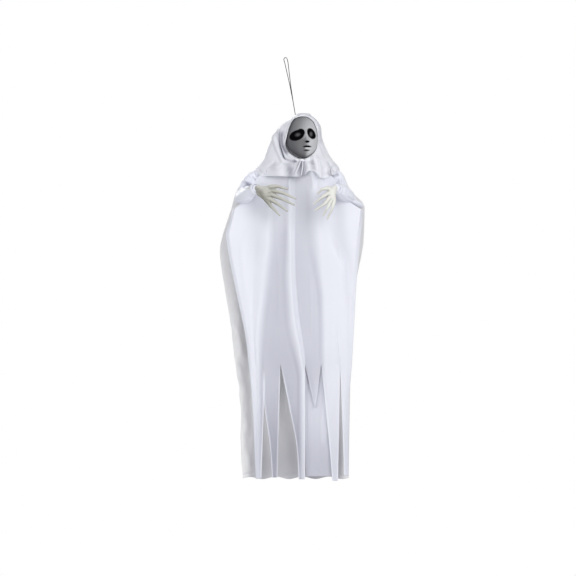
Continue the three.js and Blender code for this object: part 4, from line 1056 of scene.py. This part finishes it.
def under_grid():
    """The second layer as points, its painted shade, darker towards the bottom with one painted light patch,
    and faces.
    """
    down, across = shares(UNDER_ROWS, UNDER_COLUMNS)
    z = UNDER_TOP + (UNDER_BOTTOM - UNDER_TOP) * down
    low, high = read(UNDER_LEFT, z), read(UNDER_RIGHT, z)
    x = low + (high - low) * across
    shade = 0.2 + 0.3 * smooth((-830 - z) / 190) - 0.12 * blob(x, z, *UNDER_LIGHT)
    y, _ = front_depth(front_share(x), x, z)
    faces = grid_faces(UNDER_COLUMNS, UNDER_ROWS)
    return np.stack([x, y + UNDER_GAP, z], axis=1), np.maximum(shade, 0), faces


def make_robe_front():
    """The front panel, slit into strips, with the layer behind them."""
    grids = [strip_grid(*strip) for strip in STRIPS] + [under_grid()]
    points, faces = joined([(grid_points, grid) for grid_points, _, grid in grids])
    points[:, 1] += 0.7 * cloud(points * [1, 1, 0.3], 24, 5) * smooth((-330 - points[:, 2]) / 60)
    made = piece("robe_front_cloth", points, faces)
    mark(made, "shade", np.concatenate([shade for _, shade, _ in grids]))
    weld(made, SLIT_WELD)
    thicken(made, CLOTH)
    finish_piece(made, "torso", "robe_white", ROBE, "robe_front")


make_robe_front()

BACK_LEFT = [
    (-296, -95), (-323, -119), (-372, -134), (-446, -157), (-470, -161), (-568, -148.5), (-642, -136),
    (-764, -121.5), (-838, -112), (-960, -109), (-1034, -104),
]
BACK_RIGHT = [
    (-296, 145), (-323, 160), (-365, 194.5), (-446, 192), (-544, 175), (-642, 168), (-764, 160), (-1034, 155),
]
BACK_DEPTH = [(-287, 30), (-300, 30), (-430, 30), (-750, 27), (-1034, 25)]
BACK_TOP, BACK_BOTTOM = -300, -1030
BACK_COLUMNS, BACK_ROWS = 170, 380
COLLAR_RISE = 13
LEFT_FORWARD = 20


def make_robe_back():
    """The back panel, with its left side drawn forward and crumpled where it hangs loose."""
    down, across = shares(BACK_ROWS, BACK_COLUMNS)
    rise = COLLAR_RISE * smooth((np.minimum(across, 1 - across) - 0.22) / 0.16)
    level = BACK_TOP + rise + (BACK_BOTTOM - BACK_TOP - rise) * down
    low, high = read(BACK_LEFT, level), read(BACK_RIGHT, level)
    x = low + (high - low) * across
    z = level + 3 * np.sin(8 * math.pi * across) * np.maximum(0, down * 4 - 3)
    y = read(BACK_DEPTH, level) + fold_height(BACK_FOLDS, x, level)
    y -= LEFT_FORWARD * smooth((0.24 - across) / 0.2)
    points = np.stack([x, y, z], axis=1)
    crumple = cloud(points * [1, 1, 0.7], 20, 11)
    loose = smooth((0.16 - across) / 0.16) * smooth((-600 - z) / 80) * smooth((z + 1034) / 60)
    points[:, 1] += 1.2 * cloud(points * [1, 1, 0.25], 24, 8) + 7 * crumple * loose
    points[:, 0] += 3.0 * cloud(points * [1, 1, 0.8], 26, 12) * loose
    made = piece("robe_back_cloth", points, grid_faces(BACK_COLUMNS, BACK_ROWS))
    mark(made, "hem", (1 - down) * (BACK_TOP - BACK_BOTTOM))
    mark(made, "along", x)
    # Painted shade, darker towards the bottom inside the back panel
    mark(made, "shade", 0.55 * smooth((-850 - z) / 150) * smooth((x + 96) / 14) * smooth((150 - x) / 20))
    thicken(made, CLOTH)
    finish_piece(made, "torso", "robe_white", BACK, "robe_back")


make_robe_back()


# Arms. Sleeves and hands are fused from chains of balls: x, y, z, and half width, depth and height
LEFT_SLEEVE = [
    [(-56, 8, -298, 14, 18, 20), (-76, 4, -300, 16, 20, 21), (-90, 0, -309, 16, 20, 25),
     (-102, -6, -324, 13, 20, 26)],
    [(-64, -14, -298, 10, 14, 14), (-79, -15, -294, 14, 15, 16), (-90, -16, -303, 14, 15, 18)],
    [(-72, -16, -304, 10, 14, 12), (-80, -22, -316, 11, 12, 15), (-84, -32, -326, 11, 12, 12)],
    [(-102, -8, -330, 13, 18, 26), (-100, -26, -337, 14, 17, 23), (-90, -50, -334, 14, 15, 20),
     (-79, -72, -328, 12, 13, 15), (-74, -81, -324.5, 11.5, 11.5, 12.5)],
    [(-113, -10, -344, 12, 12, 14), (-100, -34, -339, 17, 17, 17), (-90, -52, -333.5, 17.5, 17.5, 17.5),
     (-80, -70, -328, 15, 15, 15)],
    [(-117, 4, -338, 6, 12, 15), (-113, -16, -347, 9, 12, 12), (-98, -46, -347, 9, 9, 11),
     (-84, -66, -341, 8, 8, 9)],
]
RIGHT_SLEEVE = [
    [(106, 8, -298, 14, 18, 20), (124, 4, -300, 15, 20, 21), (134, 0, -311, 15, 20, 25),
     (140, -6, -322, 14, 20, 26)],
    [(122, -16, -304, 9, 14, 12), (128, -22, -316, 11, 12, 15), (133, -32, -326, 11, 12, 12)],
    [(110, -14, -300, 11, 14, 14), (127, -15, -292, 14, 15, 16), (134, -20, -306, 13, 16, 20),
     (138, -34, -320, 14, 16, 22)],
    [(142, -8, -327, 14, 18, 24), (146, -30, -333, 14, 15, 22), (137, -52, -330, 15, 15, 21),
     (130, -70, -325, 13, 13, 17), (124, -80, -323, 11.5, 11, 13)],
    [(163, -12, -345, 8, 12, 11), (153, -32, -339, 15, 17, 17), (143, -49, -333.5, 17, 17.5, 17.5),
     (133, -66, -328, 15, 15, 15)],
    [(136, -62, -336, 8, 8, 8), (150, -40, -345, 9, 9, 9), (164, -16, -352, 8, 12, 9),
     (178, -2, -358, 7, 11, 8), (187, 8, -362, 5, 8, 6)],
]
LEFT_SLEEVE_FOLDS = [
    ([(-106, -310), (-94, -313), (-80, -316)], 13, 12, -8, 10, 14),
    ([(-84, -288), (-78, -294), (-70, -302)], 3.5, 3.5, -3, 6, 6),
    ([(-77, -283), (-70, -290), (-61, -298)], 3.5, 3.5, -3, 6, 6),
    ([(-96, -292), (-88, -296), (-78, -304)], 5, 5, 2.5, 8, 8),
    ([(-120, -351), (-104, -348), (-84, -344)], 3.5, 3.5, 2.5, 10, 12),
]
LEFT_SLEEVE_SHADE = [
    ([(-108, -308), (-93, -312), (-76, -316)], 13, 13, 0.46, 8, 12),
    ([(-84, -288), (-78, -294), (-70, -302)], 3.5, 3.5, 0.34, 6, 6),
    ([(-77, -280), (-70, -287), (-61, -297)], 3.5, 3.5, 0.4, 6, 6),
    ([(-124, -350), (-106, -352), (-84, -349)], 5, 5, 0.06, 8, 10),
    ([(-92, -286), (-86, -294), (-80, -302)], 3, 3, 0.2, 5, 5),
]
RIGHT_SLEEVE_FOLDS = [
    ([(150, -300), (146, -318), (142, -340)], 6, 6, 2, 14, 12),
    ([(134, -290), (136, -306), (138, -320)], 4, 4, -2.5, 10, 12),
    ([(146, -338), (160, -345), (176, -354)], 3.5, 3.5, -2, 8, 10),
]
RIGHT_SLEEVE_SHADE = [
    ([(106, -294), (117, -290), (132, -282)], 8, 6, 0.5, 4, 8),
    ([(122, -276), (128, -284), (130, -292)], 4, 4, 0.25, 5, 5),
    ([(128, -292), (131, -304), (130, -318)], 4, 4, 0.14, 8, 8),
    ([(146, -348), (160, -354), (178, -360)], 5, 5, 0.12, 8, 8),
]
LEFT_ARM = ((-113, -10, -346), (-66, -95, -320))
RIGHT_ARM = ((166, -10, -346), (118.6, -90, -320))
LEFT_PALM = [
    (-66, -92, -327, 6, 6.5, 11.5), (-60, -95, -328, 8, 7, 14.5), (-50, -97, -331, 9, 7.5, 18),
    (-41, -98, -331, 8, 6.5, 17),
]
# Fingers: root, middle joint and tip as x, y, z and radius, with x and z as the photograph shows them
LEFT_FINGERS = [
    [(-40, -98, -316, 5), (-20, -102, -314.5, 4), (4, -95, -321, 2.3)],
    [(-36, -98, -323, 4.8), (-6, -103, -331, 3.9), (25, -96, -344.5, 2.2)],
    [(-38, -98, -333, 4.8), (-9, -103, -345, 3.9), (21, -95, -359.5, 2.2)],
    [(-42, -98, -343, 4.8), (-20, -102, -357, 3.8), (4, -94, -375, 2.1)],
    [(-51, -97, -343, 5), (-36, -101, -362, 3.8), (-14.5, -93, -385.5, 2)],
]
RIGHT_PALM = [
    (119, -90, -321, 7, 6, 9), (116, -94, -328, 9, 7, 12), (112, -96, -335, 11, 7.5, 14),
    (113, -97, -342, 11, 6.5, 10.5),
]
RIGHT_FINGERS = [
    [(106, -95, -319, 4.6), (91, -101, -321, 3.4), (79, -93, -332, 2.2)],
    [(107, -97, -330, 4.4), (89, -103, -341.5, 3.4), (69, -94, -357, 2.1)],
    [(109, -98, -341, 4.4), (95, -105, -358, 3.4), (72, -96, -373, 2)],
    [(113.5, -98, -348, 4.4), (103, -104, -367, 3.3), (92, -95, -386, 2)],
    [(119.5, -96, -346, 4.4), (115, -101, -367, 3.3), (102.5, -93, -394, 1.9)],
]
FINGER_FULLNESS = 1.12
SLEEVE_STEP, SLEEVE_VOXEL = 2.5, 1.6
PALM_STEP, FINGER_STEP, HAND_VOXEL = 1.2, 0.9, 0.9
WRIST_RADIUS = 6.2
BAND_SIDES, BAND_ROWS = 120, 16
BAND_RADIUS, BAND_THICK = 12.6, 1.4
BAND_LENGTH, BAND_FROM_WRIST = 8, 19
# Painted shade on the hands: at the wrist and palm and between the fingers; negative heights are painted
# highlights along the fingers
HAND_SHADE = [
    ([(-72, -322), (-62, -332), (-50, -350), (-34, -370)], 7, 12, 0.34, 6, 20),
    ([(-66, -326), (-58, -328), (-50, -328)], 10, 10, 0.16, 5, 8),
    ([(-14, -319), (4, -324)], 6, 6, -0.22, 8, 4),
    ([(-8, -333), (26, -346)], 6, 6, -0.26, 10, 4),
    ([(-12, -346), (22, -361)], 6, 6, -0.2, 10, 4),
    ([(-24, -357), (4, -376)], 6, 6, -0.2, 10, 4),
    ([(-36, -363), (-14, -387)], 6, 6, -0.2, 10, 4),
    ([(-44, -322), (-32, -321), (-20, -325)], 3, 3, 0.3, 6, 8),
    ([(-46, -330), (-34, -330), (-14, -338)], 3, 3, 0.35, 6, 10),
    ([(-48, -338), (-36, -340), (-20, -349)], 3, 3, 0.35, 6, 10),
    ([(-52, -342), (-42, -349), (-30, -361)], 3, 3, 0.35, 6, 10),
    ([(112, -324), (102, -327), (92, -331)], 3, 3, 0.5, 6, 8),
    ([(113, -334), (104, -338), (94, -347)], 3, 3, 0.5, 6, 8),
    ([(114, -342), (108, -350), (102, -358)], 3, 3, 0.5, 6, 8),
    ([(118, -344), (114, -354), (109, -364)], 3, 3, 0.5, 6, 8),
]


def ball(centre, radii):
    """Points and faces of a ball, which may be longer one way."""
    shape = bmesh.new()
    bmesh.ops.create_icosphere(shape, subdivisions=2, radius=1)
    points = np.array([v.co for v in shape.verts]) * radii + np.array(centre)
    faces = [[v.index for v in face.verts] for face in shape.faces]
    shape.free()
    return points, faces


def chain(stations, step):
    """Balls along a smooth line of stations."""
    return [ball(row[:3], row[3:6]) for row in polyline(stations, step)]


def arm_line(arm):
    """The elbow, the direction to the wrist and how far away the wrist is."""
    elbow, wrist = (np.array(point, float) for point in arm)
    length = np.linalg.norm(wrist - elbow)
    return elbow, (wrist - elbow) / length, length


def basis(axis):
    """Two directions across an axis, as columns."""
    first = np.cross(axis, [0, 0, 1])
    first /= np.linalg.norm(first)
    return np.stack([first, np.cross(axis, first)], axis=1)


def make_sleeve(side, chains, folds, shades, arm):
    """A puffed sleeve shaped round the elbow, and the gathered band at its wrist."""
    elbow, axis, length = arm_line(arm)
    parts = [shape for stations in chains for shape in chain(stations, SLEEVE_STEP)]
    made = piece(side + "_sleeve_cloth", *joined(parts))
    remesh(made, SLEEVE_VOXEL, 14)
    points = points_of(made)
    normals = normals_of(made)
    gathered = smooth(((points - elbow) @ axis - length + 50) / 30)
    turn = np.arctan2(*((points - elbow) @ basis(axis)).T)
    shown = seen(points)
    facing = facing_front(normals)
    lift = 0.6 * np.cos(9 * turn) * gathered + strokes(*shown, folds) * facing
    lift += 0.8 * cloud(points * [0.8, 0.8, 1.1], 17, 21) + 0.3 * cloud(points, 8, 22)
    move_to(made, points + normals * lift[:, None])
    # Painted shade in the sleeve's folds and hollows
    mark(made, "shade", np.clip(strokes(*shown, shades), 0, 1) * facing)
    body = side + "_forearm"
    bend = ("torso", body, tuple((elbow + [0, 2, 4]) * MM), tuple((elbow + [0, -30, 4]) * MM))
    finish_piece(made, bend, "robe_white", ROBE, side + "_upper_sleeve", side + "_forearm_sleeve")
    finish_piece(make_band(side, arm), body, "robe_white", ROBE, side + "_cuff_band")


def make_band(side, arm):
    """The gathered band round the wrist end of the sleeve."""
    elbow, axis, length = arm_line(arm)
    turn = round_turn(BAND_SIDES)
    rows = []
    for share in np.linspace(0, 1, BAND_ROWS + 1):
        out = BAND_RADIUS + 1.5 * math.sin(math.pi * share) - 1.0 * share
        ruffle = 0.45 * np.cos(17 * turn + 3 * share) * (1 - share)
        ring = np.stack([np.cos(turn), np.sin(turn)], axis=1) * (out + ruffle)[:, None]
        rows.append(elbow + axis * (length - BAND_FROM_WRIST + BAND_LENGTH * share) + ring @ basis(axis).T)
    made = piece(side + "_cuff_cloth", np.concatenate(rows), grid_faces(BAND_SIDES, BAND_ROWS, closed=True))
    thicken(made, BAND_THICK)
    return made


def placed(row):
    """A row whose x and z are read in the photograph's view, moved to where its depth puts it."""
    row = np.array(row, float)
    scale = 1 + row[1] / EYE_DISTANCE
    row[0] = VIEW_X / MM + (row[0] - VIEW_X / MM) * scale
    row[2] = VIEW_Z / MM + (row[2] - VIEW_Z / MM) * scale
    return row


def make_hand(side, palm, fingers, arm, base_shade):
    """A cast hand on its wrist, with painted shade on what faces down and from the strokes of HAND_SHADE."""
    elbow, axis, length = arm_line(arm)
    wrist = [(*(elbow + axis * (length - back)), *[WRIST_RADIUS] * 3) for back in (14, 7, 0)]
    parts = chain(wrist, PALM_STEP) + chain([placed(row) for row in palm], PALM_STEP)
    for finger in fingers:
        root, joint, tip = (placed(row) * [1, 1, 1, FINGER_FULLNESS] for row in finger)
        knuckle = (*(root + (joint - root) * 0.2)[:3], *root[3] * np.array([1.05, 1.15, 1.05]))
        stations = [(*row[:3], *[row[3]] * 3) for row in (root, joint, (joint + tip) / 2, tip)]
        parts += chain([stations[0], knuckle, *stations[1:]], FINGER_STEP)
    made = piece(side + "_hand_casting", *joined(parts))
    remesh(made, HAND_VOXEL, 5)
    points = points_of(made)
    x, z = seen(points)
    up = normals_of(made)[:, 2]
    mark(made, "shade", np.clip(strokes(x, z, HAND_SHADE) + base_shade - 0.34 * up, 0, 1))
    finish_piece(made, side + "_hand", "hand_ivory", HAND, side + "_hand")


make_sleeve("left", LEFT_SLEEVE, LEFT_SLEEVE_FOLDS, LEFT_SLEEVE_SHADE, LEFT_ARM)
# The left hand is painted darker all over, as painted shade
make_hand("left", LEFT_PALM, LEFT_FINGERS, LEFT_ARM, 0.58)
make_sleeve("right", RIGHT_SLEEVE, RIGHT_SLEEVE_FOLDS, RIGHT_SLEEVE_SHADE, RIGHT_ARM)
make_hand("right", RIGHT_PALM, RIGHT_FINGERS, RIGHT_ARM, 0.0)


# Carried-over nodes
for names, material in (
    (("crown_knot",), TWINE),
    (("knot_washer", "neck_screw", "shoulder_wire", "left_forearm_wire", "right_forearm_wire"), STEEL),
    (("neck_post", "neck_retainer", "neck_socket"), PLASTIC),
    (("chest_form", "left_arm_pad", "right_arm_pad", "left_forearm_pad", "right_forearm_pad"), FOAM),
):
    for name in names:
        paint(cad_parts[name], material)


# Floor, light and world
FLOOR_Z = -1.36
FLOOR_RADIUS = 900
FLOOR_SIDES = 96
AIM = (0.02, 0, -0.5)


def make_floor():
    """Grey below the ghost, fading into the white background for the camera."""
    n = Nodes("floor")
    camera = n.add("ShaderNodeLightPath").outputs["Is Camera Ray"]
    place = n.add("ShaderNodeTexCoord").outputs["Object"]
    away = n.add("ShaderNodeVectorMath", {0: place}, operation="LENGTH").outputs["Value"]
    fade = n.scaled(away, 0.35, 0.85, 0.0, 1.0)
    pale = n.add("ShaderNodeBsdfDiffuse", {"Color": rgb(0.7, 0.7, 0.7)}).outputs[0]
    white = n.add("ShaderNodeEmission", {"Color": rgb(1, 1, 1), "Strength": 1.0}).outputs[0]
    shown = n.add("ShaderNodeMixShader", {0: n.math("MULTIPLY", fade, camera), 1: pale, 2: white})
    turn = round_turn(FLOOR_SIDES)
    rim = FLOOR_RADIUS * np.stack([np.cos(turn), np.sin(turn), 0 * turn], axis=1)
    made = piece("floor", rim, [list(range(FLOOR_SIDES))])
    made.location = (AIM[0], 0, FLOOR_Z)
    made.data.materials.append(n.show(shown.outputs[0]))


def lamp(name, place, size, power):
    data = bpy.data.lights.new(name, "AREA")
    data.shape = "DISK"
    data.size = size
    data.energy = power
    made = bpy.data.objects.new(name, data)
    made.location = place
    made.rotation_euler = (Vector(AIM) - Vector(place)).to_track_quat("-Z", "Y").to_euler()
    bpy.context.scene.collection.objects.link(made)


def make_world():
    """Soft grey-blue light, white for the camera and in what shines or lets light through."""
    n = Nodes("world", "worlds", "ShaderNodeOutputWorld")
    path = n.add("ShaderNodeLightPath").outputs
    direct = n.math("MAXIMUM", path["Is Camera Ray"], path["Is Transmission Ray"])
    shown = n.math("MAXIMUM", direct, path["Is Glossy Ray"])
    light = n.add("ShaderNodeBackground", {0: rgb(0.93, 0.95, 1.0), 1: 0.5}).outputs[0]
    white = n.add("ShaderNodeBackground", {0: rgb(1, 1, 1), 1: 1.0}).outputs[0]
    mixed = n.add("ShaderNodeMixShader", {0: shown, 1: light, 2: white})
    bpy.context.scene.world = n.show(mixed.outputs[0])


make_floor()
make_world()
lamp("key", (1.4, -2.7, 0.6), 2.0, 42)
lamp("fill", (-1.1, -2.8, -0.8), 2.2, 25)
lamp("back_light", (-1.0, 2.2, 0.6), 1.4, 20)

bpy.context.scene.view_settings.view_transform = "Standard"
